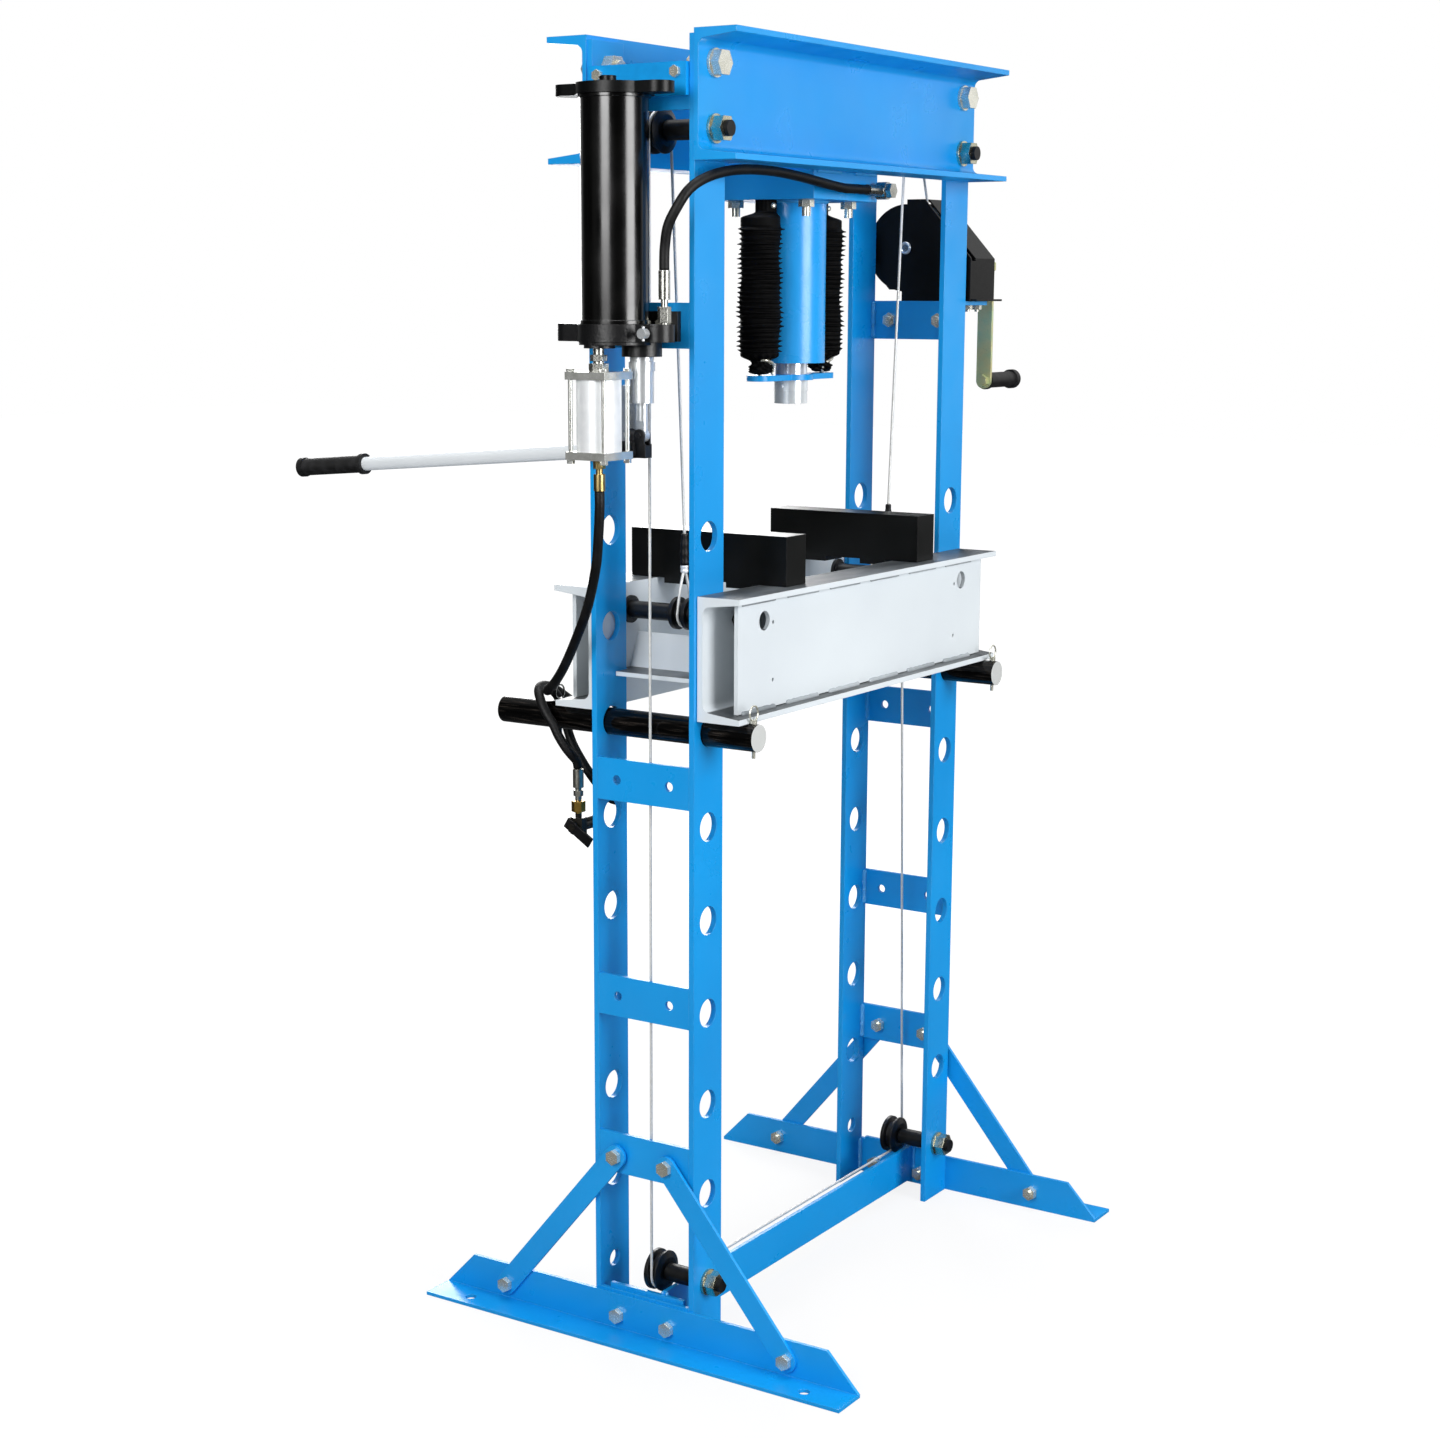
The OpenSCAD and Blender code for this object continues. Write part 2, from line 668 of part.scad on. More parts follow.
housing_bot = pump_base_z - 78;
module plunger_housing() {
  color(steel) {
    difference() {
      union() {
        rod_z(housing_bot, pump_base_z - 19, plunger_x, plunger_y, 31);
        rod_z(housing_bot + 41, housing_bot + 53, plunger_x, plunger_y, 34);
      }
      rod_z(housing_bot - 1, pump_base_z - 18, plunger_x, plunger_y, plunger_d + 2 * fit);
    }
    // link strap that carries the fulcrum of the lever
    difference() {
      union() {
        translate([plunger_x - 13, fulcrum_y - 8, fulcrum_z]) cube([5, 16, housing_bot + 22 - fulcrum_z]);
        translate([plunger_x + 8, fulcrum_y - 8, fulcrum_z]) cube([5, 16, housing_bot + 22 - fulcrum_z]);
        translate([plunger_x - 13, fulcrum_y - 8, housing_bot + 7]) cube([26, 16, 15]);
        rod_x(plunger_x - 13, plunger_x - 8, fulcrum_y, fulcrum_z, 16);
        rod_x(plunger_x + 8, plunger_x + 13, fulcrum_y, fulcrum_z, 16);
      }
      rod_z(housing_bot - 3, housing_bot + 27, plunger_x, plunger_y, 30.9);
    }
    rod_x(plunger_x - 15, plunger_x + 15, fulcrum_y, fulcrum_z, 8);
  }
}

module release_knob() {
  color(steel) {
    rod_x(pump_x - 26, pump_x - 5, knob_y, pump_base_z + 11, 8);
    rod_x(pump_x - 34, pump_x - 24, knob_y, pump_base_z + 11, 13);
    rod_z(pump_base_z + 2, pump_base_z + 20, pump_x - 29, knob_y, 4);
  }
}

module plunger_rod() {
  color(steel) difference() {
    union() {
      rod_z(fulcrum_z, pump_base_z - 4, plunger_x, plunger_y, plunger_d);
      rod_x(plunger_x - 5, plunger_x + 5, plunger_y, fulcrum_z, 18);
    }
    for (x = [5, -15]) translate([plunger_x + x, plunger_y - 10, fulcrum_z - 18])
      cube([10, 20, 36]);
    for (y = [0, slot_play]) rod_x(plunger_x - 9, plunger_x + 9, plunger_y + y, fulcrum_z, 8.6);
    translate([plunger_x - 9, plunger_y, fulcrum_z - 4.3]) cube([18, slot_play, 8.6]);
  }
}

module lever_bracket() {
  color(dark) difference() {
    union() {
      translate([plunger_x - 7.5, plunger_y - 10, handle_z0 - 12]) cube([15, 50, 18]);
      for (y = [plunger_y, fulcrum_y]) {
        rod_x(plunger_x - 7.5, plunger_x + 7.5, y, fulcrum_z, 16);
        translate([plunger_x - 7.5, y - 8, handle_z0 + 5]) cube([15, 16, fulcrum_z - handle_z0 - 5]);
      }
      translate([plunger_x, 0, 0]) lean_line(-14, 24) cylinder(h = 38, d = 24);
    }
    translate([plunger_x - 5.4, plunger_y - 14, handle_z0 + 4]) cube([10.8, 27, 30]);
    rod_x(plunger_x - 8, plunger_x + 8, fulcrum_y, fulcrum_z, 8 + 2 * fit);
    translate([plunger_x, 0, 0]) lean_line(-9, 24) cylinder(h = 80, d = handle_d);
  }
  color(dark) rod_x(plunger_x - 10, plunger_x + 10, plunger_y, fulcrum_z, 6.5);
}

// Places a bar that starts at depth y on the leaning centre line of the handle
module lean_line(y, gap) {
  translate([0, y, handle_z0 - (y + 20) * tan(handle_lean)])
    rotate([-90 - handle_lean, 0, 0]) children();
}

module handle_tube() {
  color("#CDD2D6") translate([plunger_x, 0, 0]) lean_line(-8, 0) difference() {
    cylinder(h = handle_l, d = handle_d);
    translate([0, 0, 2]) cylinder(h = handle_l + 1, d = handle_d - 4);
  }
}

grip_l = 118;
module handle_grip() {
  color(dark) translate([plunger_x, 0, 0]) lean_line(-8, 0) translate([0, 0, handle_l - 80])
    difference() {
      union() {
        translate([0, 0, -2]) cylinder(h = grip_l, d = 24);
        translate([0, 0, -4]) cylinder(h = 7, d = 29);
        translate([0, 0, grip_l - 10]) cylinder(h = 8, d = 27);
      }
      translate([0, 0, -5]) cylinder(h = 85, d = handle_d);
    }
}

rod_off = motor_w / 2 - 5;
// Two square ends on four tie rods
module motor_ends() {
  color(zinc) {
    difference() {
      union() {
        translate([motor_x - motor_w / 2, motor_y - motor_w / 2, motor_bot])
          cube([motor_w, motor_w, 10]);
        translate([motor_x - motor_w / 2, motor_y - motor_w / 2, motor_top - 10])
          cube([motor_w, motor_w, 10]);
      }
      for (x = [-rod_off, rod_off]) for (y = [-rod_off, rod_off])
        rod_z(motor_bot - 1, motor_top + 1, motor_x + x, motor_y + y, 6);
    }
    for (x = [-rod_off, rod_off]) for (y = [-rod_off, rod_off]) {
      rod_z(motor_bot - 5, motor_top + 4, motor_x + x, motor_y + y, 6);
      translate([motor_x + x, motor_y + y, motor_bot - 5]) hex(5, 9);
      translate([motor_x + x, motor_y + y, motor_top]) hex(4, 9);
    }
  }
}

module motor_barrel() {
  color(zinc) difference() {
    rod_z(motor_bot + 10, motor_top - 10, motor_x, motor_y, motor_d);
    rod_z(motor_bot + 14, motor_top - 14, motor_x, motor_y, motor_d - 6);
  }
}

module air_motor() {
  motor_ends();
  motor_barrel();
}

module hose_fittings() {
  color(zinc) {
    // air motor neck up to the pump base
    rod_z(motor_top, pump_base_z - 8, motor_x, motor_y, 14);
    translate([motor_x, motor_y, motor_top]) hex(10, 22);
    translate([motor_x, motor_y, pump_base_z - 24]) hex(8, 19);
    // air hose end below the motor
    rod_z(air_start[2] + seat, motor_bot, motor_x, motor_y, 9);
    translate([motor_x, motor_y, motor_bot - 12]) hex(12, 14);
    rod_z(air_start[2] + seat, air_start[2] + 22, motor_x, motor_y, 15);
    // oil hose end on the pump
    rod_z(tank_z, oil_start[2] - seat, oil_x, oil_y, 9);
    translate([oil_x, oil_y, tank_z + 2]) hex(20, 15);
    rod_z(tank_z + 31, oil_start[2] - seat, oil_x, oil_y, 15);
    // oil hose end on the head block
    rod_x(28 + seat, 64, -104, port_z - 1, 15);
    rod_y(-112, -96, port_x, port_z - 1, 24);
    rod_y(-112, -block_y, port_x, port_z - 1, 14);
    along_y(port_x, -121, port_z - 1) hex(9, 19);
  }
}

module oil_hose() {
  color(dark) translate([0, 0, head_bot]) hose(oil_line, oil_hose_d, 44, 10, [1, 0, 0]);
}

module air_hose() {
  color(dark) translate([0, 0, head_bot]) hose(air_line, air_hose_d, 76, 9, [1, 0, 0]);
}

valve_x = air_end[0];
valve_y = air_end[1];
valve_z = air_end[2] - 81;
// Tapping size of a quarter inch air inlet
inlet_d = 11.4;
// Length of the inlet arm from the middle of the valve
inlet_l = 32;
module air_valve() {
  color("#B99B4A") difference() {
    union() {
      rod_z(valve_z + 54, air_end[2] - 1 - seat, valve_x, valve_y, 15);
      rod_z(valve_z + 8, valve_z + 54, valve_x, valve_y, 9);
      translate([valve_x, valve_y, valve_z + 42]) hex(8, 12);
      translate([valve_x, valve_y, valve_z + 20]) hex(15, 17);
      translate([valve_x, valve_y, valve_z - 12]) hex(24, 20);
      rod_x(valve_x - 17, valve_x, valve_y, valve_z, 9);
      rod_x(valve_x, valve_x + inlet_l, valve_y, valve_z, 18);
    }
    rod_x(valve_x + inlet_l - 17, valve_x + inlet_l + 1, valve_y, valve_z, inlet_d);
  }
}

module valve_lever() {
  color(dark) difference() {
    translate([valve_x - 16, valve_y, valve_z]) rotate([32, 0, 0]) union() {
      translate([0, -36, -7.5]) cube([3, 48, 15]);
      rotate([0, 90, 0]) cylinder(h = 3, d = 17);
    }
    rod_x(valve_x - 30, valve_x, valve_y, valve_z, 9 + 2 * fit);
  }
}

winch_in = xo + 7;
winch_out = winch_in + winch_w;
winch_base = mid_plate_z + cross_h / 2;
crank_y = winch_y - 84;
crank_z = winch_z - 27;
cover_front = winch_y - 112;
slope_z = winch_z - 16;
roof_z = winch_z + 73;
winch_back = winch_y + 7;
winch_bolt_x = [winch_in + 25, winch_out - 24];
winch_bolt_y = [winch_y - 95, winch_y - 5];
drum_out = winch_out - 25;
module winch_bracket() {
  color(blue) difference() {
    union() {
      translate([xo, winch_y - 105, winch_base - 6]) cube([winch_out - 9 - xo, 142, 6]);
      translate([xo, -66, winch_base - cross_h]) cube([6, 132, cross_h - 6 + e]);
    }
    for (s = [-1, 1])
      rod_x(xo - 1, xo + 7, s * cross_bolt_y, mid_plate_z, bolt_hole);
    for (x = winch_bolt_x) for (y = winch_bolt_y) rod_z(winch_base - 7, winch_base + 1, x, y, 9);
  }
}

module side_shape() {
  polygon([[cover_front, winch_base], [cover_front, slope_z], [winch_y - 30, roof_z],
    [winch_y, roof_z], [winch_y, winch_z - 10], [winch_y + 59, winch_z - 30],
    [winch_y + 29, winch_z - 63], [winch_back, winch_z - 63], [winch_back, winch_base]]);
  translate([winch_y + 0.5, winch_z]) circle(66);
}

module winch_side(x) {
  difference() {
    translate([x, 0, 0]) rotate([90, 0, 90]) linear_extrude(3) side_shape();
    rod_x(x - 1, x + 4, winch_y, winch_z, 16 + 2 * fit);
    rod_x(x - 1, x + 4, crank_y, crank_z, 14 + 2 * fit);
  }
}

module winch_housing() {
  color(dark) {
    winch_side(winch_in);
    winch_side(winch_out - 3);
    translate([winch_in + 3, cover_front, winch_base])
      cube([winch_w - 6, 2.5, slope_z - 4 - winch_base]);
    translate([winch_in + 16, 0, 0]) rotate([90, 0, 90])
      linear_extrude(winch_w - 19)
      polygon([[cover_front, slope_z], [winch_y - 30, roof_z], [winch_y, roof_z],
        [winch_y, roof_z - 2.5], [winch_y - 29, roof_z - 2.5], [cover_front + 2.5, slope_z - 1],
        [cover_front + 2.5, slope_z - 5], [cover_front, slope_z - 5]]);
    difference() {
      translate([winch_in + 3, cover_front - 10, winch_base])
        cube([winch_w + 5, winch_back - cover_front + 10, 3]);
      translate([winch_out - 3, cover_front + e, winch_base - 1])
        cube([3, winch_back - cover_front + 1, 5]);
      for (x = winch_bolt_x) for (y = winch_bolt_y) rod_z(winch_base - 1, winch_base + 4, x, y, 9);
    }
    for (x = winch_bolt_x) for (y = winch_bolt_y) {
      rod_z(winch_base - 16, winch_base + 8, x, y, 8);
      translate([x, y, winch_base - 13]) hex(7, 13);
      translate([x, y, winch_base + 3]) hex(5, 13);
    }
  }
}

gear_teeth = 42;
pinion_teeth = 14;
gear_mod = sqrt(pow(winch_y - crank_y, 2) + pow(winch_z - crank_z, 2)) * 2
  / (gear_teeth + pinion_teeth);
// Spur gear outline with slim pointed teeth that run clear of their mate
module gear_shape(teeth, turn) {
  r = gear_mod * teeth / 2;
  w = 360 / teeth;
  rotate(turn) union() {
    circle(r - gear_mod);
    for (i = [0:teeth - 1]) rotate(i * w) polygon([[r - 1.1 * gear_mod, -gear_mod * 0.62],
      [r + 0.55 * gear_mod, -gear_mod * 0.24], [r + 0.55 * gear_mod, gear_mod * 0.24],
      [r - 1.1 * gear_mod, gear_mod * 0.62]]);
  }
}

mesh_angle = atan2(crank_z - winch_z, crank_y - winch_y);
module winch_drum() {
  color(steel) {
    rod_x(winch_in - 4, winch_out + 4, winch_y, winch_z, 16);
    rod_x(winch_in + 8, drum_out + 1, winch_y, winch_z, 2 * drum_rope_r - rope_d - 0.8);
    rod_x(winch_in + 6, winch_in + 9, winch_y, winch_z, 110);
    rod_x(drum_out, drum_out + 3, winch_y, winch_z, 110);
    translate([drum_out + 7, winch_y, winch_z]) rotate([90, 0, 90])
      linear_extrude(8) gear_shape(gear_teeth, mesh_angle);
    rod_x(drum_out + 3 - e, drum_out + 7 + e, winch_y, winch_z, 40);
  }
}

// Rope wound on the drum in one unbroken outer layer
module drum_rope() {
  pitch = rope_d + 0.6;
  turns = floor((drum_out - first_turn_x - rope_d) / pitch);
  steps = 24 * turns;
  pts = [for (i = [0:steps]) let (a = 180 + 360 * i / 24)
    [first_turn_x + pitch * i / 24, winch_y + drum_rope_r * cos(a),
    winch_z + drum_rope_r * sin(a)]];
  echo(least_rope_gap = min([for (i = [0:steps - 24]) norm(pts[i + 24] - pts[i])]) - rope_d);
  color(steel) tube(pts, rope_d, 6, [1, 0, 0]);
}

module crank_shaft() {
  color(steel) {
    rod_x(winch_in - 6, winch_out + 36, crank_y, crank_z, 14);
    translate([drum_out + 5, crank_y, crank_z]) rotate([90, 0, 90]) linear_extrude(12)
      gear_shape(pinion_teeth, mesh_angle + 180 / pinion_teeth);
  }
}

crank_l = 176;
arm_x = winch_out + 26;
module crank_arm() {
  color("#BDB28A") difference() {
    union() {
      translate([arm_x, crank_y - 12.5, crank_z - crank_l]) cube([5, 25, crank_l]);
      rod_x(arm_x, arm_x + 5, crank_y, crank_z, 25);
      rod_x(arm_x, arm_x + 5, crank_y, crank_z - crank_l, 25);
      rod_x(arm_x - 6, arm_x + e, crank_y, crank_z, 24);
      rod_x(arm_x + 5, arm_x + 106, crank_y, crank_z - crank_l, 10);
      rod_x(arm_x + 104, arm_x + 107, crank_y, crank_z - crank_l, 14);
      along_x(arm_x - 7, crank_y, crank_z - crank_l) hex(7, 16);
    }
    rod_x(arm_x - 7, arm_x + 6, crank_y, crank_z, 14);
  }
  color("#BDB28A") along_x(arm_x + 10, crank_y, crank_z) hex(6, 19);
}

module crank_grip() {
  color(dark) difference() {
    union() {
      rod_x(arm_x + 6, arm_x + 103, crank_y, crank_z - crank_l, 24);
      rod_x(arm_x + 92, arm_x + 103, crank_y, crank_z - crank_l, 30);
      rod_x(arm_x + 6, arm_x + 12, crank_y, crank_z - crank_l, 28);
    }
    rod_x(arm_x + 5, arm_x + 104, crank_y, crank_z - crank_l, 10 + 2 * fit);
  }
}

// Stud that carries a pulley behind a front upright; nut in front of face
module pulley_stud(x, z, face) {
  rod_y(-face - 26, 11, x, z, stud_d);
  rod_y(7, 11, x, z, 28);
  rod_y(-72, rope_y - 13, x, z, 26);
  rod_y(-75, -72, x, z, 38);
  along_y(x, -face - 4, z) cylinder(h = 4, d = 37);
  along_y(x, -face - 20, z) hex(16, 30);
}

module pulley_axles() {
  color(dark) both_sides() {
    pulley_stud(xm, low_hole_z, yo);
    pulley_stud(xm, pulley_z, yo + head_web);
  }
}

module pulley(x, z) {
  color(dark) along_y(x, rope_y, z) rotate_extrude() difference() {
    polygon([[stud_d / 2 + fit, -12], [pulley_d / 2 - 9, -12], [pulley_d / 2, -8.5],
      [pulley_d / 2, -6], [groove_r, -3.5], [groove_r, 3.5], [pulley_d / 2, 6],
      [pulley_d / 2, 11], [pulley_d / 2 - 2, 12], [stud_d / 2 + fit, 12]]);
    translate([0, -20]) square([stud_d / 2 + fit, 40]);
  }
}

module pulley_top_left() {
  pulley(-xm, pulley_z);
}

module pulley_top_right() {
  pulley(xm, pulley_z);
}

module pulley_low_left() {
  pulley(-xm, low_hole_z);
}

module pulley_low_right() {
  pulley(xm, low_hole_z);
}

lead_tan = 0.339;
lead_a = atan(lead_tan);
lead_x = xm + rope_r * cos(lead_a);
lead_z = pulley_z + rope_r * sin(lead_a);
first_turn_x = lead_x + (lead_z - winch_z) * lead_tan;
module rope_fixed() {
  color(steel) {
    // up the left side, over the top left pulley
    rod([-xm - rope_r, rope_y, low_hole_z + e], [-xm - rope_r, rope_y, pulley_z - e], rope_d);
    translate([-xm, rope_y, pulley_z]) rotate([90, 0, 0])
      rotate_extrude(angle = 180) translate([rope_r, 0]) circle(d = rope_d);
    // round the low left pulley and along the floor to the low right pulley
    translate([-xm, rope_y, low_hole_z]) rotate([90, 180, 0])
      rotate_extrude(angle = 90) translate([rope_r, 0]) circle(d = rope_d);
    rod([-xm + e, rope_y, low_hole_z - rope_r], [xm - e, rope_y, low_hole_z - rope_r], rope_d);
    translate([xm, rope_y, low_hole_z]) rotate([90, 270, 0])
      rotate_extrude(angle = 90) translate([rope_r, 0]) circle(d = rope_d);
    // over the top right pulley and out to the winch drum
    translate([xm, rope_y, pulley_z]) rotate([90, -lead_a, 0])
      rotate_extrude(angle = 180 - lead_a) translate([rope_r, 0]) circle(d = rope_d);
    rod([lead_x + e * lead_tan, rope_y, lead_z - e],
      [first_turn_x - 8 * lead_tan, rope_y, winch_z + 8], rope_d);
  }
}

module rope_upper() {
  color(steel) both_sides()
    rod([axle_x, rope_y, sling_z + seat], [xm - rope_r, rope_y, pulley_z - e], rope_d);
}

module rope_lower() {
  color(steel) rod([low_sling_x, low_groove_y, low_sling_z - seat],
    [xm + rope_r, rope_y, low_hole_z + e], rope_d);
}

loop_r = groove_d / 2 + rope_d / 2 + 0.7;
// Rope loop round a spool groove, closed by a ferrule and a sleeve
module sling(x, y, up, end_x, end_z) {
  neck_z = axle_z + up * 58;
  translate([x, y, axle_z]) rotate([90, up > 0 ? 180 : 0, 0])
    rotate_extrude(angle = 180) translate([loop_r, 0]) circle(d = rope_d);
  for (s = [-1, 1]) {
    rod([x + s * loop_r, y, axle_z], [x + (end_x - x) * 0.45 + s * 2.1, y, neck_z], rope_d);
    translate([x + s * loop_r, y, axle_z]) sphere(d = rope_d + 0.4);
  }
  rod([x + (end_x - x) * 0.45, y, neck_z - up * 2], [x + (end_x - x) * 0.53, y, neck_z + up * 8], 11);
  rod([x + (end_x - x) * 0.53, y, neck_z + up * 7], [end_x, y, end_z], 12);
}

module rope_slings() {
  color(dark) {
    both_sides() sling(axle_x, rope_y, 1, axle_x, sling_z);
    sling(axle_x, low_groove_y, -1, low_sling_x, low_sling_z);
  }
}

module bed_channel() {
  difference() {
    channel_front(bed_in, bed_bot, bed_h, bed_b, bed_web, bed_fl, bed_l);
    for (s = [-1, 1])
      rod_y(-bed_in - bed_web - 1, -bed_in + 1, s * axle_x, axle_z, axle_d + 1);
  }
}

module bed_channel_front() {
  color(white_steel) bed_channel();
}

module bed_channel_rear() {
  color(white_steel) mirror([0, 1, 0]) bed_channel();
}

inner_h = bed_h - 2 * bed_fl;
bent_z = bed_bot + 43;
axle_over = 30;
module bed_plates() {
  color(white_steel) {
    front_rear() difference() {
      translate([-close_l / 2, -close_y, bed_bot + bed_fl])
        cube([close_l, close_t, inner_h]);
      for (s = [-1, 1]) {
        rod_y(-close_y - 1, -close_y + close_t + 1, s * axle_x, axle_z, 26);
        for (z = [axle_z - 4, axle_z - 82])
          rod_y(-close_y - 1, -close_y + close_t + 1, s * (axle_x - 22), z, 5);
      }
    }
    // bent cross plates that join the two webs
    difference() {
      both_sides() translate([0, bed_in, 0]) rotate([90, 0, 0]) linear_extrude(2 * bed_in)
        polygon([[xi + 27, bent_z], [xi + 27, bent_z + 6], [axle_x, bent_z + 6],
          [axle_x - 19, bent_z + 53], [axle_x - 24.5, bent_z + 51], [axle_x - 5, bent_z]]);
      both_sides() front_rear() translate([xi - 1.5, yi - 1.5, bent_z - 3]) cube([40, 20, 12]);
      rod_z(bent_z - 3, bent_z + 27, axle_x + 11, low_groove_y, 20);
    }
  }
}

module bed_axles() {
  color(dark) both_sides() {
    rod_y(-bed_in - axle_over, bed_in + axle_over, axle_x, axle_z, axle_d);
    for (y = [rope_y + 10, low_groove_y + 10, low_groove_y - 10])
      rod_y(y - 3, y + 3, axle_x, axle_z, spool_d);
    rod_y(low_groove_y - 10, rope_y + 10, axle_x, axle_z, groove_d);
    front_rear() {
      along_y(axle_x, -bed_in - bed_web - 18, axle_z) hex(17, 30);
      rod_y(-bed_in - bed_web - 1, -bed_in - bed_web, axle_x, axle_z, 27);
      rod_y(-bed_in + e, -bed_in + 4, axle_x, axle_z, 38);
    }
  }
}

module press_plate(x) {
  color(dark) {
    translate([x - plate_t / 2, -plate_l / 2, bed_top + seat])
      cube([plate_t, plate_l, plate_h]);
    for (y = [30, -72]) translate([x - plate_t / 2, y, bed_top - 7])
      cube([plate_t, 42, 7 + seat + e]);
  }
}

module press_plate_left() {
  press_plate(plate_left_x);
}

module press_plate_right() {
  press_plate(plate_right_x);
}

clip_d = 5;
// Spring clip through a bed pin: straight leg, stop collar and ring
module spring_clip(x, y) {
  // leg, collar and ring
  rod_z(pin_z - pin_d / 2 - 9, pin_z + pin_d / 2 + 6, x, y, clip_d);
  rod_z(pin_z + pin_d / 2 + 0.4, pin_z + pin_d / 2 + 6, x, y, 9);
  translate([x, y, pin_z + pin_d / 2 + 14]) rotate([90, 0, 0])
    rotate_extrude() translate([10, 0]) circle(d = 2.4);
}

module pin_body(x) {
  difference() {
    rod_y(-pin_front, pin_rear, x, pin_z, pin_d);
    rod_z(pin_z - 30, pin_z + 30, x, -clip_front, clip_d + 2 * 0.08);
    rod_z(pin_z - 30, pin_z + 30, x, clip_rear, clip_d);
  }
  spring_clip(x, clip_rear);
}

module bed_pin_left() {
  color(dark) pin_body(-xm);
}

module bed_pin_right() {
  color(dark) translate([0, pin_shift, 0]) pin_body(xm);
}

module clip_left() {
  color(steel) spring_clip(-xm, -clip_front);
}

module clip_right() {
  color(steel) translate([0, pin_shift, 0]) spring_clip(xm, -clip_front);
}

upright_front_left();
upright_front_right();
upright_rear_left();
upright_rear_right();
cross_plates();
foot_left();
foot_right();
brace_bars();
spreader_bar();
frame_bolts();
head_beam_front();
head_beam_rear();
head_block();
cylinder_barrel();
ram_rod();
ram_nose();
spring_plate();
spring_covers();
return_springs();
pump_top_cap();
reservoir_tube();
pump_base();
plunger_housing();
release_knob();
plunger_rod();
lever_bracket();
handle_tube();
handle_grip();
air_motor();
hose_fittings();
oil_hose();
air_hose();
air_valve();
valve_lever();
winch_bracket();
winch_housing();
winch_drum();
drum_rope();
crank_shaft();
crank_arm();
crank_grip();
pulley_axles();
pulley_top_left();
pulley_top_right();
pulley_low_left();
pulley_low_right();
rope_fixed();
rope_upper();
rope_lower();
rope_slings();
bed_channel_front();
bed_channel_rear();
bed_plates();
bed_axles();
press_plate_left();
press_plate_right();
bed_pin_left();
bed_pin_right();
clip_left();
clip_right();
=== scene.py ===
import math

import bpy
import numpy as np
from mathutils import Matrix, Vector


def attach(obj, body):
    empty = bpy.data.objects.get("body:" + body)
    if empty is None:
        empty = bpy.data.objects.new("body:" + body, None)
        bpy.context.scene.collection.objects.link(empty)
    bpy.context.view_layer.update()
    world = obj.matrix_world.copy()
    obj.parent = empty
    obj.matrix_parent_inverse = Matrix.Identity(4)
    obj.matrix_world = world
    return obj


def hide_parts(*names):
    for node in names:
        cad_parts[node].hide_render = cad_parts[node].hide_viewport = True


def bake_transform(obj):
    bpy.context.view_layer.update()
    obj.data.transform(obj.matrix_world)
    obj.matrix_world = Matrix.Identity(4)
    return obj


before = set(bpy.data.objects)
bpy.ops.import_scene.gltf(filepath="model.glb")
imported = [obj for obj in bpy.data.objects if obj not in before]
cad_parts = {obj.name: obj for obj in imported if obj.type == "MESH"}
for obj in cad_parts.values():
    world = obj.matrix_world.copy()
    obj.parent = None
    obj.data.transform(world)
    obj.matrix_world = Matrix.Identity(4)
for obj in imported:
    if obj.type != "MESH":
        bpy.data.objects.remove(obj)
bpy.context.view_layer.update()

MM = 0.001
TAU = 2 * math.pi

# Camera at the photograph's angle, in metres and degrees
CAMERA_PLACE = (-3.0036, -1.8325, 1.4468)
CAMERA_YAW, CAMERA_PITCH, CAMERA_ROLL = 56.870, -11.710, 0.165
LENS_MM = 60.82
SHIFT = (0.00378, 0.05106)


def aim_camera():
    """Camera that looks along (sin yaw cos pitch, cos yaw cos pitch, sin pitch), turned by roll."""
    yaw, pitch = math.radians(CAMERA_YAW), math.radians(CAMERA_PITCH)
    ahead = Vector((math.sin(yaw) * math.cos(pitch), math.cos(yaw) * math.cos(pitch), math.sin(pitch)))
    right = Vector((math.cos(yaw), -math.sin(yaw), 0.0))
    up = right.cross(ahead)
    turn = Matrix((right, up, -ahead)).transposed() @ Matrix.Rotation(math.radians(CAMERA_ROLL), 3, "Z")
    data = bpy.data.cameras.new("camera")
    data.sensor_width = 36
    data.lens = LENS_MM
    data.shift_x, data.shift_y = SHIFT
    camera = bpy.data.objects.new("camera", data)
    camera.matrix_world = Matrix.Translation(CAMERA_PLACE) @ turn.to_4x4()
    bpy.context.scene.collection.objects.link(camera)
    bpy.context.scene.camera = camera


aim_camera()
bpy.context.scene.view_settings.view_transform = "Standard"


# Shader helpers
def linear(code):
    """sRGB hex colour to linear RGBA: c/12.92 below 0.04045, else ((c + 0.055)/1.055)^2.4."""
    parts = [int(code[i:i + 2], 16) / 255 for i in (1, 3, 5)]
    return [c / 12.92 if c <= 0.04045 else ((c + 0.055) / 1.055) ** 2.4 for c in parts] + [1.0]


def add(tree, kind, inputs=None, **settings):
    """Adds one shader node: settings are its properties, inputs its sockets' values or links."""
    node = tree.nodes.new("ShaderNode" + kind)
    for key, value in settings.items():
        setattr(node, key, value)
    for key, value in (inputs or {}).items():
        if isinstance(value, bpy.types.NodeSocket):
            tree.links.new(value, node.inputs[key])
        else:
            node.inputs[key].default_value = value
    return node


def start(name, **shader):
    """New material with a Principled shader; returns its tree, shader and Object coordinates."""
    material = bpy.data.materials.new(name)
    material.use_nodes = True
    tree = material.node_tree
    tree.nodes.clear()
    bsdf = add(tree, "BsdfPrincipled", shader)
    add(tree, "OutputMaterial", {"Surface": bsdf.outputs[0]})
    coords = add(tree, "TexCoord").outputs["Object"]
    return material, tree, bsdf, coords


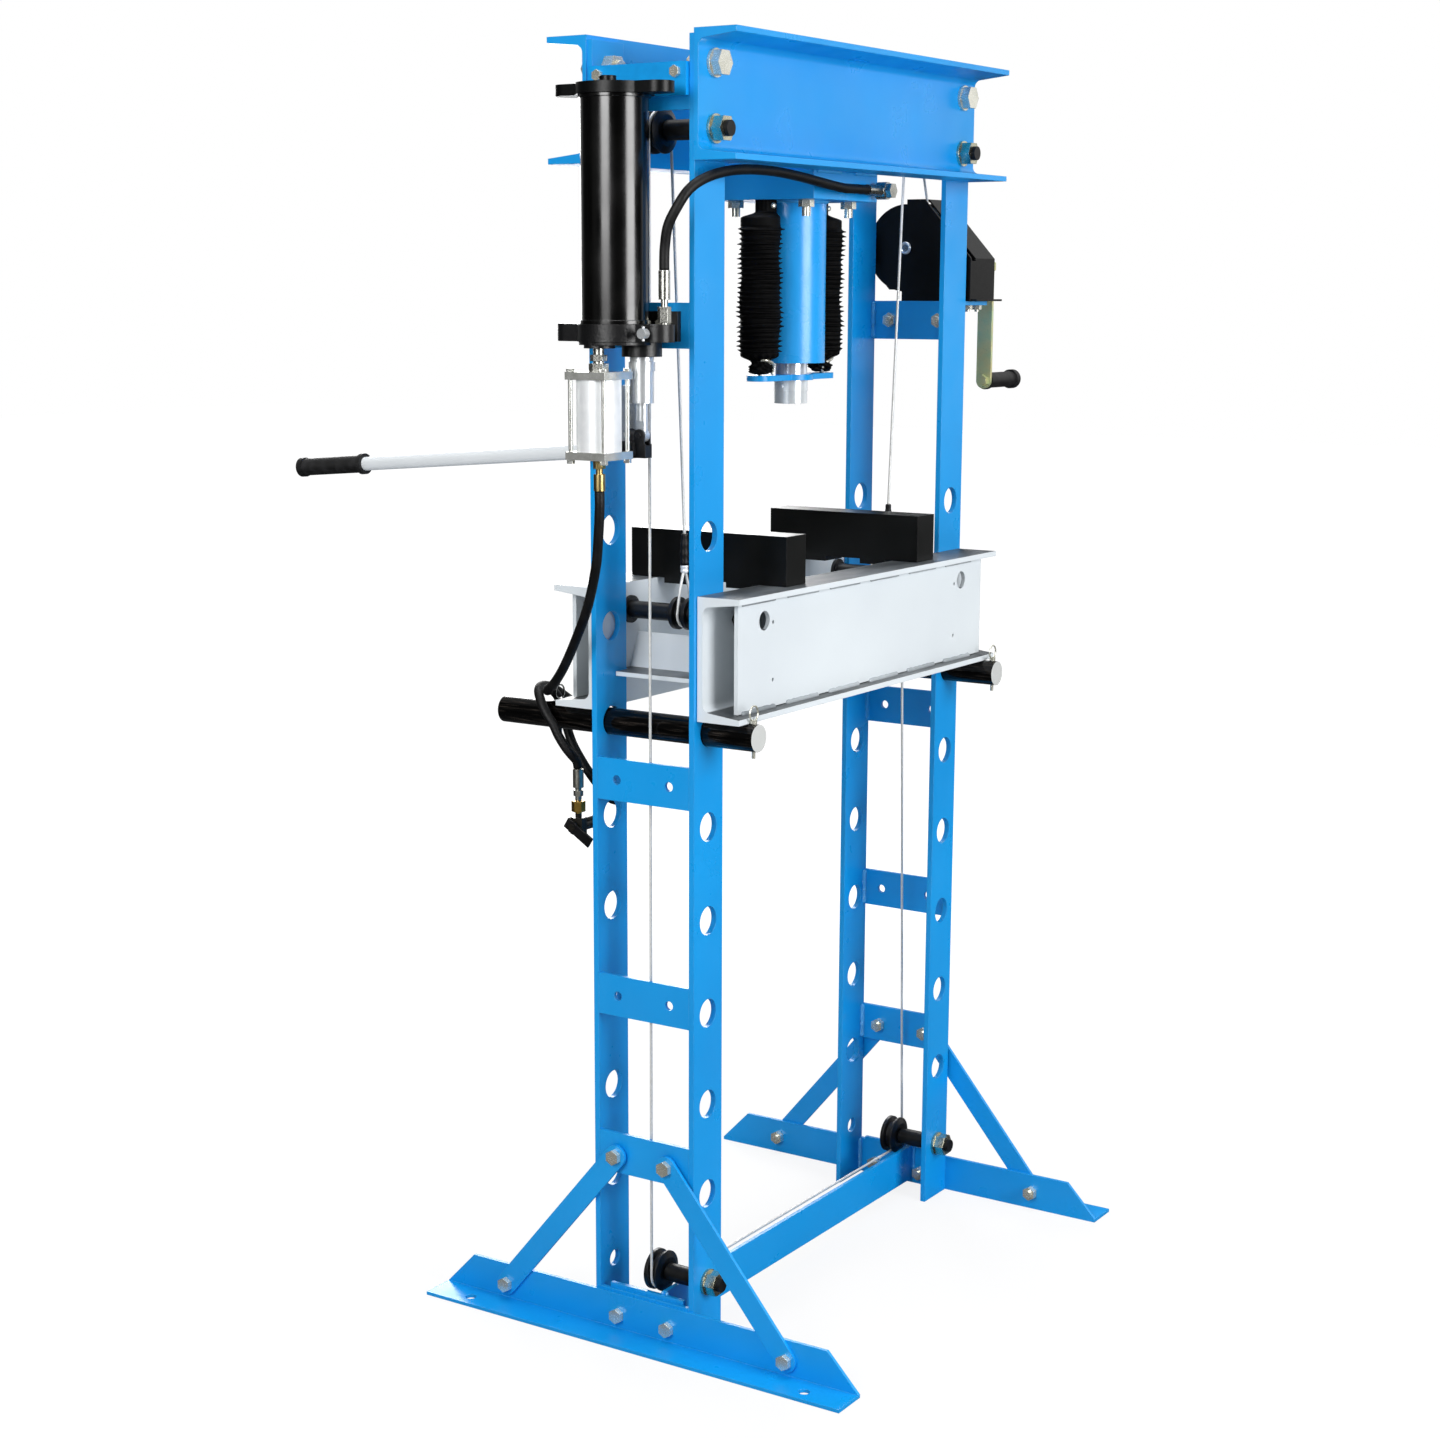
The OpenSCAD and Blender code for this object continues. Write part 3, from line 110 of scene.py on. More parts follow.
def grain(tree, coords, size_mm, detail=2.0, stretch=None):
    """Noise whose features are size_mm across; stretch scales the axes."""
    if stretch:
        coords = add(tree, "Mapping", {"Vector": coords, "Scale": stretch}).outputs[0]
    return add(tree, "TexNoise", {"Vector": coords, "Scale": 1000.0 / size_mm, "Detail": detail}).outputs[0]


def ramp(tree, value, low, high, to_low=0.0, to_high=1.0):
    """value taken from low..high to to_low..to_high and held there."""
    return add(tree, "MapRange", {"Value": value, "From Min": low, "From Max": high,
                                  "To Min": to_low, "To Max": to_high}).outputs[0]


def blend_colour(tree, factor, first, second):
    """Mixes two colours, given as hex codes or sockets."""
    pick = {6: linear(first) if isinstance(first, str) else first,
            7: linear(second) if isinstance(second, str) else second, 0: factor}
    return add(tree, "Mix", pick, data_type="RGBA").outputs[2]


def both(tree, first, second):
    """first times second: 1 only where both are 1."""
    return add(tree, "Math", {0: first, 1: second}, operation="MULTIPLY").outputs[0]


def drive(tree, bsdf, **sockets):
    """Links each value to the shader's socket of that name, written with _ for a space."""
    for key, value in sockets.items():
        tree.links.new(value, bsdf.inputs[key.replace("_", " ")])


def rounded(tree, radius_mm):
    """Normal of the face as if its edges were rounded with this radius."""
    return add(tree, "Bevel", {"Radius": radius_mm * MM}, samples=4).outputs[0]


def relief(tree, bsdf, height, strength, depth_mm, normal=None):
    """Bump of height, depth_mm deep at strength 1, on top of normal; returns the bumped normal."""
    inputs = {"Height": height, "Strength": strength, "Distance": depth_mm * MM}
    if normal is not None:
        inputs["Normal"] = normal
    bumped = add(tree, "Bump", inputs).outputs[0]
    drive(tree, bsdf, Normal=bumped)
    return bumped


def edge_wear(tree, radius_mm):
    """Share of wear, 0 on flats to 1 on edges: how far a rounded normal leaves the flat one."""
    round_normal = rounded(tree, radius_mm)
    flat = add(tree, "NewGeometry").outputs["Normal"]
    along = add(tree, "VectorMath", {0: round_normal, 1: flat}, operation="DOT_PRODUCT").outputs["Value"]
    return round_normal, ramp(tree, along, 0.99, 0.80)


def coat(name, colour, deep, worn, rough, peel=0.16, edge_mm=1.2, top=None, shine=0.5):
    """Sprayed coat on steel: uneven colour, orange peel, thin paint on edges.

    deep is the tone of its clouds, worn that of its edges, top a painted shade for level faces that stands in for
    their dim reflection, shine its specular level.
    """
    material, tree, bsdf, coords = start(name, **{"IOR": 1.5, "Specular IOR Level": shine})
    cloud = grain(tree, coords, 320.0, 3.0)
    base = blend_colour(tree, ramp(tree, cloud, 0.35, 0.68), colour, deep)
    speck = grain(tree, coords, 26.0, 5.0)
    base = blend_colour(tree, ramp(tree, speck, 0.60, 0.78, 0.0, 0.12), base, deep)
    # painted shade: level faces turned towards the top tone, unevenly, for their dim reflection
    if top:
        upward = add(tree, "SeparateXYZ", {0: add(tree, "NewGeometry").outputs["True Normal"]}).outputs[2]
        top_shade_mottle = ramp(tree, grain(tree, coords, 40.0, 4.0, (0.3, 1, 1)), 0.3, 0.7, 0.78, 1.0)
        base = blend_colour(tree, both(tree, ramp(tree, upward, 0.90, 0.97), top_shade_mottle), base, top)
    round_normal, wear = edge_wear(tree, edge_mm)
    chips = ramp(tree, grain(tree, coords, 9.0, 4.0), 0.42, 0.62, 0.15, 0.75)
    film = grain(tree, coords, 60.0, 4.0)
    drive(tree, bsdf, Base_Color=blend_colour(tree, both(tree, wear, chips), base, worn),
          Roughness=ramp(tree, film, 0.3, 0.7, rough - 0.06, rough + 0.07))
    relief(tree, bsdf, grain(tree, coords, 3.2, 2.0), peel, 0.5, round_normal)
    return material


def metal(name, colour, second, rough, stretch=(1, 1, 1), line_mm=1.5, depth=0.12, share=1.0):
    """Bare metal: two tones in broad clouds and tool marks drawn out along one axis.

    stretch and line_mm set the marks' shape, depth their strength, share the metallic part.
    """
    material, tree, bsdf, coords = start(name, **{"Metallic": share})
    cloud = grain(tree, coords, 30.0, 4.0)
    marks = grain(tree, coords, line_mm, 3.0, stretch)
    drive(tree, bsdf, Base_Color=blend_colour(tree, ramp(tree, cloud, 0.32, 0.70), colour, second),
          Roughness=ramp(tree, marks, 0.25, 0.75, rough - 0.08, rough + 0.10))
    relief(tree, bsdf, marks, depth, 0.3, rounded(tree, 0.6))
    return material


# Finishes, each named for the real one, with what it gives the eye
# even sky blue with faint clouds and paler edges: frame, head and winch bracket
blue_coat = coat("sky_blue_powder_coat", "#0A9BE6", "#0890DA", "#62B8F0", 0.32, 0.07)
# pale grey sides under a top painted darker, as painted shade for the dim reflection on level faces: the pressing
# bed
grey_coat = coat("light_grey_enamel", "#DEE5E9", "#D5DCE1", "#EEF1F3", 0.42, top="#35393C")
# deep black with a clear stripe of light down its side: the oil tank
black_coat = coat("black_gloss_tank_paint", "#010101", "#030303", "#1A1C1E", 0.20, 0.03, shine=0.6)
# flat black blocks with worn grey edges: the press plates
satin_black = coat("black_satin_plate_paint", "#040505", "#070808", "#303336", 0.34, 0.08, shine=0.22)
# the frame's sky blue painted lighter, as painted light where the cylinder faces both lamps; smoother, with a long
# highlight: the ram's cylinder
barrel_coat_painted_light = coat("barrel_blue_coat_painted_light", "#2BA4EE", "#1C98E4", "#7CC4F2", 0.26, 0.05)
# rough sand-cast skin under black paint: pump base, pulleys, brackets
cast_black = coat("black_painted_castings", "#060607", "#0B0B0D", "#1C1E20", 0.36, 0.5)
# near white, softly shining tube: the pump handle
handle_coat = coat("pale_grey_handle_paint", "#DDE1E4", "#D2D7DA", "#E6E8E9", 0.36)
# bright, faintly warm bolts, nuts and clips
zinc = metal("bright_zinc_plate", "#F4F3E6", "#CFCDBE", 0.22, share=0.72)
# yellow going to green, the rainbow of passivated zinc: the winch crank
yellow_zinc = metal("yellow_passivated_zinc", "#E2D49A", "#B9D2A6", 0.32, share=0.6)
# upright grinding lines on the plunger parts
tool_steel = metal("ground_tool_steel", "#E2E5E7", "#C3C7CA", 0.24, (1, 1, 12), 1.2, share=0.6)
# light turned steel: the ram's nose
nose_steel = metal("turned_nose_steel", "#F2F6F8", "#E2E8EB", 0.20, (1, 1, 14), 1.2, share=0.35)
# mirror-like rod and axle ring
chrome = metal("hard_chrome_plate", "#EEF3F6", "#E2E8EC", 0.12, (12, 12, 1), 1.6, 0.05, share=0.5)
# soft white sheen of pressed ferrules
aluminium = metal("satin_anodised_aluminium", "#F4F6F7", "#E6E9EB", 0.40, (1, 1, 10), 1.2, 0.15, share=0.35)
# dull grey shafts and spring wire
drum_steel = metal("turned_grey_steel", "#8E9193", "#6F7274", 0.38, (10, 1, 1), 1.2)


def black_pin_finish():
    """Black-oiled ground bar with bare saw-cut end faces, told apart by the faces' own direction."""
    material, tree, bsdf, coords = start("black_oxide_bar")
    normal = add(tree, "NewGeometry").outputs["True Normal"]
    split = add(tree, "SeparateXYZ", {0: normal}).outputs[1]
    end = ramp(tree, add(tree, "Math", {0: split}, operation="ABSOLUTE").outputs[0], 0.90, 0.97)
    scuff = ramp(tree, grain(tree, coords, 2.4, 4.0, (1, 0.06, 1)), 0.52, 0.72)
    dark = blend_colour(tree, scuff, "#070707", "#3E3833")
    drive(tree, bsdf, Base_Color=blend_colour(tree, end, dark, "#D6D8D6"),
          Metallic=ramp(tree, end, 0, 1, 0.6, 0.15), Roughness=ramp(tree, scuff, 0, 1, 0.13, 0.32))
    relief(tree, bsdf, grain(tree, coords, 1.4, 3.0, (1, 0.08, 1)), 0.08, 0.3, rounded(tree, 1.5))
    return material


def wire_rope_finish():
    """Galvanised strands: valleys between the strands painted darker as painted shade, crowns near white, told apart
    by the mesh's own crown value.
    """
    material, tree, bsdf, coords = start("galvanised_wire_rope", **{"Metallic": 0.25})
    crown = add(tree, "Attribute", attribute_name="crown").outputs["Fac"]
    stain = grain(tree, coords, 14.0, 4.0)
    # painted shade: darker valleys between the strands
    base = blend_colour(tree, crown, "#A8A69E", "#F4F4F0")
    base = blend_colour(tree, ramp(tree, stain, 0.5, 0.8, 0.0, 0.4), base, "#B9B7AF")
    drive(tree, bsdf, Base_Color=base, Roughness=ramp(tree, stain, 0.3, 0.7, 0.32, 0.5))
    wires = add(tree, "TexWave", {"Vector": add(tree, "TexCoord").outputs["UV"], "Scale": 900.0,
                                  "Distortion": 1.0}, wave_type="BANDS", bands_direction="DIAGONAL")
    relief(tree, bsdf, wires.outputs[1], 0.25, 0.15)
    return material


def hose_finish():
    """Wrapped hydraulic hose: matt rubber with the slanting print of its curing tape, 4 mm apart."""
    material, tree, bsdf, coords = start("wrapped_hose_rubber", **{"IOR": 1.5, "Specular IOR Level": 0.3})
    uv = add(tree, "TexCoord").outputs["UV"]
    tape = add(tree, "TexWave", {"Vector": uv, "Scale": 105.0, "Distortion": 0.6}, wave_type="BANDS",
               bands_direction="DIAGONAL").outputs[1]
    dust = grain(tree, coords, 24.0, 5.0)
    base = blend_colour(tree, ramp(tree, dust, 0.48, 0.74), "#060607", "#121213")
    drive(tree, bsdf, Base_Color=base, Roughness=ramp(tree, dust, 0.3, 0.7, 0.44, 0.60))
    printed = relief(tree, bsdf, tape, 0.35, 0.25)
    relief(tree, bsdf, grain(tree, coords, 0.9, 2.0), 0.2, 0.1, printed)
    return material


def sleeve_cloth_finish():
    """Rubber-coated cloth of the spring sleeves: black, dull, a plain weave 1.2 mm apart."""
    material, tree, bsdf, coords = start("coated_sleeve_cloth", **{"Specular IOR Level": 0.12})
    uv = add(tree, "TexCoord").outputs["UV"]
    warp = add(tree, "TexWave", {"Vector": uv, "Scale": 260.0}, wave_type="BANDS",
               bands_direction="X").outputs[1]
    weft = add(tree, "TexWave", {"Vector": uv, "Scale": 260.0}, wave_type="BANDS",
               bands_direction="Y").outputs[1]
    dust = grain(tree, coords, 20.0, 5.0)
    base = blend_colour(tree, ramp(tree, dust, 0.45, 0.75), "#020202", "#060607")
    drive(tree, bsdf, Base_Color=base, Roughness=ramp(tree, dust, 0.3, 0.7, 0.62, 0.80))
    relief(tree, bsdf, both(tree, warp, weft), 0.4, 0.2)
    return material


def grip_finish():
    """Moulded rubber grip: dull black with dust and a fine pitted skin."""
    material, tree, bsdf, coords = start("moulded_grip_rubber")
    dust = grain(tree, coords, 12.0, 4.0)
    base = blend_colour(tree, ramp(tree, dust, 0.45, 0.75), "#0A0A0B", "#1A1A1C")
    drive(tree, bsdf, Base_Color=base, Roughness=ramp(tree, dust, 0.3, 0.7, 0.48, 0.66))
    relief(tree, bsdf, grain(tree, coords, 1.1, 2.0), 0.35, 0.25)
    return material


# Where one finish of a solid ends and the next begins, in millimetres
UPRIGHT_FRONT_Y = -82.8
STUD_X, STUD_R, STUD_LEVELS = 338, 10.3, (90, 1646)
CAP_LEG_X = -381.2
HUB_END_X = 379.0
MOTOR_AXIS = (-456, 8)
MOTOR_TUBE_R, MOTOR_TUBE_LOW_Z, MOTOR_TUBE_TOP_Z = 29.8, 1243, 1334
MOTOR_BOTTOM_Z = 1232.0
WINCH_NUT_TOP_Z = 1428.5
VALVE_BODY_TOP_Z, VALVE_NUT_TOP_Z = 736.5, 754.5


def place_of(tree, coords):
    """The three coordinates of the shaded point in the press's own frame, in metres."""
    return add(tree, "SeparateXYZ", {0: coords}).outputs


def beyond(tree, value, limit_mm, sense):
    """1 where value is greater (sense > 0) or less (sense < 0) than limit_mm, else 0."""
    kind = "GREATER_THAN" if sense > 0 else "LESS_THAN"
    return add(tree, "Math", {0: value, 1: limit_mm * MM}, operation=kind).outputs[0]


def plated(name, choose, first, second, rough=(0.30, 0.36), metallic=(1.0, 1.0)):
    """Two finishes on one solid: choose(tree, coords) gives 0 for the first and 1 for the second.

    first and second are pairs of tones; rough and metallic give each finish's value in that order.
    """
    material, tree, bsdf, coords = start(name, **{"Specular IOR Level": 0.22})
    share = choose(tree, coords)
    cloud = ramp(tree, grain(tree, coords, 18.0, 4.0), 0.35, 0.70)
    colour = blend_colour(tree, share, blend_colour(tree, cloud, *first), blend_colour(tree, cloud, *second))
    marks = grain(tree, coords, 1.6, 3.0)
    level = ramp(tree, share, 0, 1, *rough)
    swing = ramp(tree, marks, 0.25, 0.75, -0.06, 0.08)
    drive(tree, bsdf, Base_Color=colour, Roughness=add(tree, "Math", {0: level, 1: swing}).outputs[0],
          Metallic=ramp(tree, share, 0, 1, *metallic))
    relief(tree, bsdf, marks, 0.14, 0.3, rounded(tree, 0.7))
    return material


def on_stud_nut(tree, coords):
    """1 on the nuts and washers of the pulley studs: in front of the uprights and off the stud itself."""
    x, y, z = place_of(tree, coords)
    wide = add(tree, "Math", {0: x}, operation="ABSOLUTE").outputs[0]
    flat = add(tree, "CombineXYZ", {0: wide, 2: z}).outputs[0]
    far = [add(tree, "VectorMath", {0: flat, 1: (STUD_X * MM, 0, level * MM)}, operation="DISTANCE").outputs["Value"]
           for level in STUD_LEVELS]
    nearest = add(tree, "Math", {0: far[0], 1: far[1]}, operation="MINIMUM").outputs[0]
    return both(tree, beyond(tree, y, UPRIGHT_FRONT_Y, -1), beyond(tree, nearest, STUD_R, 1))


def on_cap_leg(tree, coords):
    """1 on the pump cap's leg, which is painted with the frame."""
    return beyond(tree, place_of(tree, coords)[0], CAP_LEG_X, 1)


def on_hub(tree, coords):
    """1 on the drum's hub, where it comes out of the winch."""
    return beyond(tree, place_of(tree, coords)[0], HUB_END_X, -1)


def on_motor_tube(tree, coords):
    """1 on the tube between the end plates of the air motor, 0 on the plates, tie rods and their nuts."""
    x, y, z = place_of(tree, coords)
    flat = add(tree, "CombineXYZ", {0: x, 1: y}).outputs[0]
    axis = (MOTOR_AXIS[0] * MM, MOTOR_AXIS[1] * MM, 0)
    off = add(tree, "VectorMath", {0: flat, 1: axis}, operation="DISTANCE").outputs["Value"]
    between = both(tree, beyond(tree, z, MOTOR_TUBE_LOW_Z, 1), beyond(tree, z, MOTOR_TUBE_TOP_Z, -1))
    return both(tree, between, beyond(tree, off, MOTOR_TUBE_R, -1))


def above_bracket(tree, coords):
    """1 on the winch, 0 on the nuts that hold it from below its bracket."""
    return beyond(tree, place_of(tree, coords)[2], WINCH_NUT_TOP_Z, 1)


def below_motor(tree, coords):
    """1 on the air hose's end, 0 on the fittings above it."""
    return beyond(tree, place_of(tree, coords)[2], MOTOR_BOTTOM_Z, -1)


def valve_finish():
    """Hose end and neck in bright zinc, a brass nut, and a black body with its inlet arm."""
    material, tree, bsdf, coords = start("angle_valve_zinc_brass_black", **{"Roughness": 0.34})
    z = place_of(tree, coords)[2]
    stain = ramp(tree, grain(tree, coords, 8.0, 4.0), 0.35, 0.70)
    silver = blend_colour(tree, stain, "#C9C8BE", "#A5A398")
    gold = blend_colour(tree, stain, "#C8A24E", "#9E7C36")
    black = blend_colour(tree, stain, "#15140F", "#2B2820")
    above_body = beyond(tree, z, VALVE_BODY_TOP_Z, 1)
    low = blend_colour(tree, above_body, black, gold)
    drive(tree, bsdf, Base_Color=blend_colour(tree, beyond(tree, z, VALVE_NUT_TOP_Z, 1), low, silver),
          Metallic=ramp(tree, above_body, 0, 1, 0.3, 1.0))
    relief(tree, bsdf, grain(tree, coords, 1.6, 3.0), 0.15, 0.3, rounded(tree, 0.6))
    return material


stud_finish = plated("black_stud_with_zinc_nut", on_stud_nut, ("#0C0D0E", "#1A1B1C"), ("#DAD6BE", "#A9A995"),
                     (0.36, 0.24), (0.0, 1.0))
cap_finish = plated("black_cap_on_blue_leg", on_cap_leg, ("#050606", "#08090A"), ("#0A9BE6", "#0890DA"),
                    (0.34, 0.34), (0.0, 0.0))
drum_finish = plated("grey_drum_with_bright_hub", on_hub, ("#8E9193", "#6F7274"), ("#D4D8DC", "#AEB4BA"),
                     (0.38, 0.20), (1.0, 1.0))
fitting_finish = plated("zinc_fittings_with_brass_hose_end", below_motor, ("#CDCDC6", "#A6A69F"),
                        ("#C9B27A", "#A98F58"), (0.26, 0.30), (1.0, 1.0))
motor_finish = plated("zinc_ends_on_anodised_tube", on_motor_tube, ("#F2F3EE", "#D2D3CC"), ("#F6F8F9", "#EBEEF0"),
                      (0.18, 0.34), (0.75, 0.30))
winch_paint = plated("black_winch_on_zinc_nuts", above_bracket, ("#EDEBDD", "#C4C2B3"), ("#020202", "#050505"),
                     (0.24, 0.42), (0.75, 0.0))
valve_metals = valve_finish()
black_bar = black_pin_finish()
wire = wire_rope_finish()
hose_rubber = hose_finish()
sleeve_cloth = sleeve_cloth_finish()
grip_rubber = grip_finish()


# Mesh helpers
def put(name, mesh, material=None):
    """Object of this mesh at the origin, unturned, with smooth faces when it has a material."""
    if material:
        mesh.materials.append(material)
        mesh.polygons.foreach_set("use_smooth", [True] * len(mesh.polygons))
    piece = bpy.data.objects.new(name, mesh)
    bpy.context.scene.collection.objects.link(piece)
    return piece


def tube_faces(rows, columns, base=0):
    """Faces of a closed tube of rings: quads between the rings, then one cap at each end."""
    row = np.arange(rows - 1)[:, None] * columns + base
    column = np.arange(columns)[None, :]
    after = (column + 1) % columns
    quads = np.stack([row + column, row + after, row + columns + after, row + columns + column], -1)
    faces = quads.reshape(-1, 4).tolist()
    faces.append(list(range(base, base + columns))[::-1])
    faces.append(list(range(base + (rows - 1) * columns, base + rows * columns)))
    return faces


def grid_piece(name, grid, material, uv=None, **attributes):
    """Closed tube from a grid of points (rows, columns, 3) in metres.

    uv is (length along, at each row; way round): its map has the length as u and the way round as v.
    """
    rows, columns = grid.shape[:2]
    mesh = bpy.data.meshes.new(name)
    mesh.from_pydata(grid.reshape(-1, 3).tolist(), [], tube_faces(rows, columns))
    if uv is not None:
        along, way_round = uv
        layer = mesh.uv_layers.new(name="UVMap")
        around = np.broadcast_to(np.arange(columns)[None, :], (rows - 1, columns))
        turned = np.stack([around, around + 1, around + 1, around], -1).reshape(-1) * (way_round / columns)
        length = np.broadcast_to(along[:, None], (rows, columns))
        run = np.stack([length[:-1], length[:-1], length[1:], length[1:]], -1).reshape(-1)
        flat = np.zeros((len(mesh.loops), 2), np.float32)
        flat[:len(run), 0], flat[:len(run), 1] = run, turned
        layer.data.foreach_set("uv", flat.ravel())
    for key, values in attributes.items():
        layer = mesh.attributes.new(key, "FLOAT", "POINT")
        layer.data.foreach_set("value", np.ascontiguousarray(values, np.float32).ravel())
    return put(name, mesh, material)


def spline(points, step):
    """Catmull-Rom curve through the points, sampled about every step."""
    p = np.array(points, float)
    p = np.vstack([2 * p[0] - p[1], p, 2 * p[-1] - p[-2]])
    out = []
    for a, b, c, d in zip(p[:-3], p[1:-2], p[2:-1], p[3:]):
        count = max(2, int(round(np.linalg.norm(c - b) / step)))
        t = (np.arange(count) / count)[:, None]
        out.append(0.5 * (2 * b + (c - a) * t + (2 * a - 5 * b + 4 * c - d) * t ** 2
                          + (3 * b - a - 3 * c + d) * t ** 3))
    out.append(p[-2][None])
    return np.vstack(out)


def frames(path):
    """Tangent and two cross directions at each point, carried along without twist."""
    tangent = np.gradient(path, axis=0)
    tangent /= np.linalg.norm(tangent, axis=1)[:, None]
    side = np.cross(tangent[0], [0.0, 1.0, 0.0])
    if np.linalg.norm(side) < 0.1:
        side = np.cross(tangent[0], [1.0, 0.0, 0.0])
    sides = []
    for t in tangent:
        side = side - t * np.dot(side, t)
        side = side / np.linalg.norm(side)
        sides.append(side)
    sides = np.array(sides)
    return tangent, sides, np.cross(tangent, sides)


def lengths(path):
    """Length along the path up to each of its points."""
    return np.concatenate([[0.0], np.cumsum(np.linalg.norm(np.diff(path, axis=0), axis=1))])


def sweep(name, path, radius, material, columns=24, **attributes):
    """Round tube: path + r (cos a side + sin a up), r being one number or a grid of rings by columns."""
    _, side, up = frames(path)
    angle = np.arange(columns) / columns * TAU
    r = np.broadcast_to(np.atleast_2d(radius).T if np.ndim(radius) == 1 else radius, (len(path), columns))
    grid = (path[:, None] + r[..., None] * (np.cos(angle)[None, :, None] * side[:, None]
                                             + np.sin(angle)[None, :, None] * up[:, None]))
    return grid_piece(name, grid, material, uv=(lengths(path), TAU * float(np.mean(r))), **attributes)


STRANDS = 6
LAY_MM = 27.0


def wire_rope(name, path, diameter):
    """Six-strand rope: r = R (0.80 + 0.20 |cos(3 (a - twist))|^0.6), twist = TAU s / lay."""
    columns = 24
    s = lengths(path)[:, None]
    angle = np.arange(columns)[None, :] / columns * TAU
    lobe = np.abs(np.cos(STRANDS / 2 * (angle - TAU * s / (LAY_MM * MM)))) ** 0.6
    return sweep(name, path, diameter / 2 * (0.80 + 0.20 * lobe), wire, columns, crown=lobe)


def line(first, last, step):
    """Straight path, first + t (last - first), with points about every step."""
    first, last = np.array(first, float), np.array(last, float)
    count = max(2, int(np.linalg.norm(last - first) / step))
    return first + (last - first) * np.linspace(0, 1, count + 1)[:, None]


def arc(centre, radius, first, last, step=3.0):
    """Arc in the XZ plane, angles in degrees from +X towards +Z."""
    count = max(3, int(abs(math.radians(last - first)) * radius / step))
    a = np.radians(np.linspace(first, last, count + 1))
    return np.array(centre) + radius * np.stack([np.cos(a), 0 * a, np.sin(a)], 1)


def joined(*parts):
    """Paths end to end, without the doubled points."""
    out = [parts[0]]
    for before, part in zip(parts, parts[1:]):
        out.append(part[1:] if np.allclose(part[0], before[-1], atol=0.01) else part)
    return np.vstack(out)


# Hoses: the routes of the solids, in millimetres
HOSE_D = 13.0
OIL_LINE = [
    (-422, -70, 1470), (-422, -70, 1482), (-422, -71, 1500), (-424, -77, 1524), (-421, -88, 1546),
    (-409, -98, 1568), (-384, -106, 1583), (-343, -112, 1593), (-293, -115, 1597), (-231, -114, 1597),
    (-165, -112, 1593), (-95, -109, 1587), (-40, -106, 1583), (0, -104, 1583), (28, -104, 1583)]
AIR_LINE = [
    (-456, 8, 1192), (-456, 8, 1170), (-451, 14, 1132), (-443, 24, 1092), (-430, 47, 1038),
    (-412, 78, 994), (-395, 111, 951), (-384, 136, 924), (-376, 154, 911), (-364, 165, 906),
    (-349, 173, 904), (-332, 179, 900), (-318, 181, 889), (-311, 179, 871), (-311, 172, 848),
    (-312, 161, 824), (-313, 144, 801), (-314, 127, 782), (-314, 109, 765), (-308, 100, 753),
    (-293, 96, 748), (-278, 100, 753), (-272, 109, 765), (-270, 122, 785), (-270, 133, 811),
    (-273, 144, 836), (-279, 156, 858), (-287, 170, 874), (-297, 183, 887), (-309, 192, 898),
    (-324, 195, 905), (-340, 194, 907), (-355, 187, 902), (-364, 176, 890), (-367, 165, 875),
    (-366, 154, 860), (-365, 146, 845), (-362, 136, 829), (-357, 129, 818), (-352, 125, 810),
    (-350, 124, 800)]


def hose(name, node, route):
    """Hose of one diameter along its route, in place of its solid, carried by the frame."""
    path = spline(route, 3.0) * MM
    piece = sweep(name, path, HOSE_D / 2 * MM, hose_rubber, 28)
    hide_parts(node)
    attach(piece, "frame")


hose("pump_to_ram_hose", "oil_hose", OIL_LINE)
hose("air_supply_hose", "air_hose", AIR_LINE)


# Ropes: planes, radii and ends as in the solids, in millimetres
ROPE_D = 4.0
ROPE_Y = -6.0
LOW_ROPE_Y = -26.0
PULLEY_X, PULLEY_TOP_Z, PULLEY_LOW_Z = 338.0, 1646.0, 90.0
ROPE_R = 25.0
AXLE_X, AXLE_Z = 281.0, 1016.3
SLING_TOP_Z, SLING_LOW_X, SLING_LOW_Z = AXLE_Z + 108, AXLE_X + 16, AXLE_Z - 112
LEAD_TAN = 0.339
LEAD_DEG = math.degrees(math.atan(LEAD_TAN))
DRUM_Y, DRUM_Z, DRUM_ROPE_R = 25.0, 1510.0, 31.0
ROPE_STEP = 2.6

lead_start = np.array([PULLEY_X + ROPE_R * math.cos(math.atan(LEAD_TAN)), ROPE_Y,
                       PULLEY_TOP_Z + ROPE_R * math.sin(math.atan(LEAD_TAN))])
first_turn_x = lead_start[0] + (lead_start[2] - DRUM_Z) * LEAD_TAN
left_rope = wire_rope("left_lift_rope", joined(
    arc((-PULLEY_X, ROPE_Y, PULLEY_TOP_Z), ROPE_R, 0, 180, 2.0),
    line((-PULLEY_X - ROPE_R, ROPE_Y, PULLEY_TOP_Z), (-PULLEY_X - ROPE_R, ROPE_Y, PULLEY_LOW_Z), ROPE_STEP),
    arc((-PULLEY_X, ROPE_Y, PULLEY_LOW_Z), ROPE_R, 180, 270, 2.0),
    line((-PULLEY_X, ROPE_Y, PULLEY_LOW_Z - ROPE_R), (PULLEY_X, ROPE_Y, PULLEY_LOW_Z - ROPE_R), ROPE_STEP),
    arc((PULLEY_X, ROPE_Y, PULLEY_LOW_Z), ROPE_R, 270, 360, 2.0)) * MM, ROPE_D * MM)
right_rope = wire_rope("winch_lead_rope", joined(
    arc((PULLEY_X, ROPE_Y, PULLEY_TOP_Z), ROPE_R, 180, LEAD_DEG, 2.0),
    line(lead_start, (first_turn_x, ROPE_Y, DRUM_Z), ROPE_STEP)) * MM, ROPE_D * MM)
for rope in (left_rope, right_rope):
    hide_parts("rope_fixed")
    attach(rope, "frame")

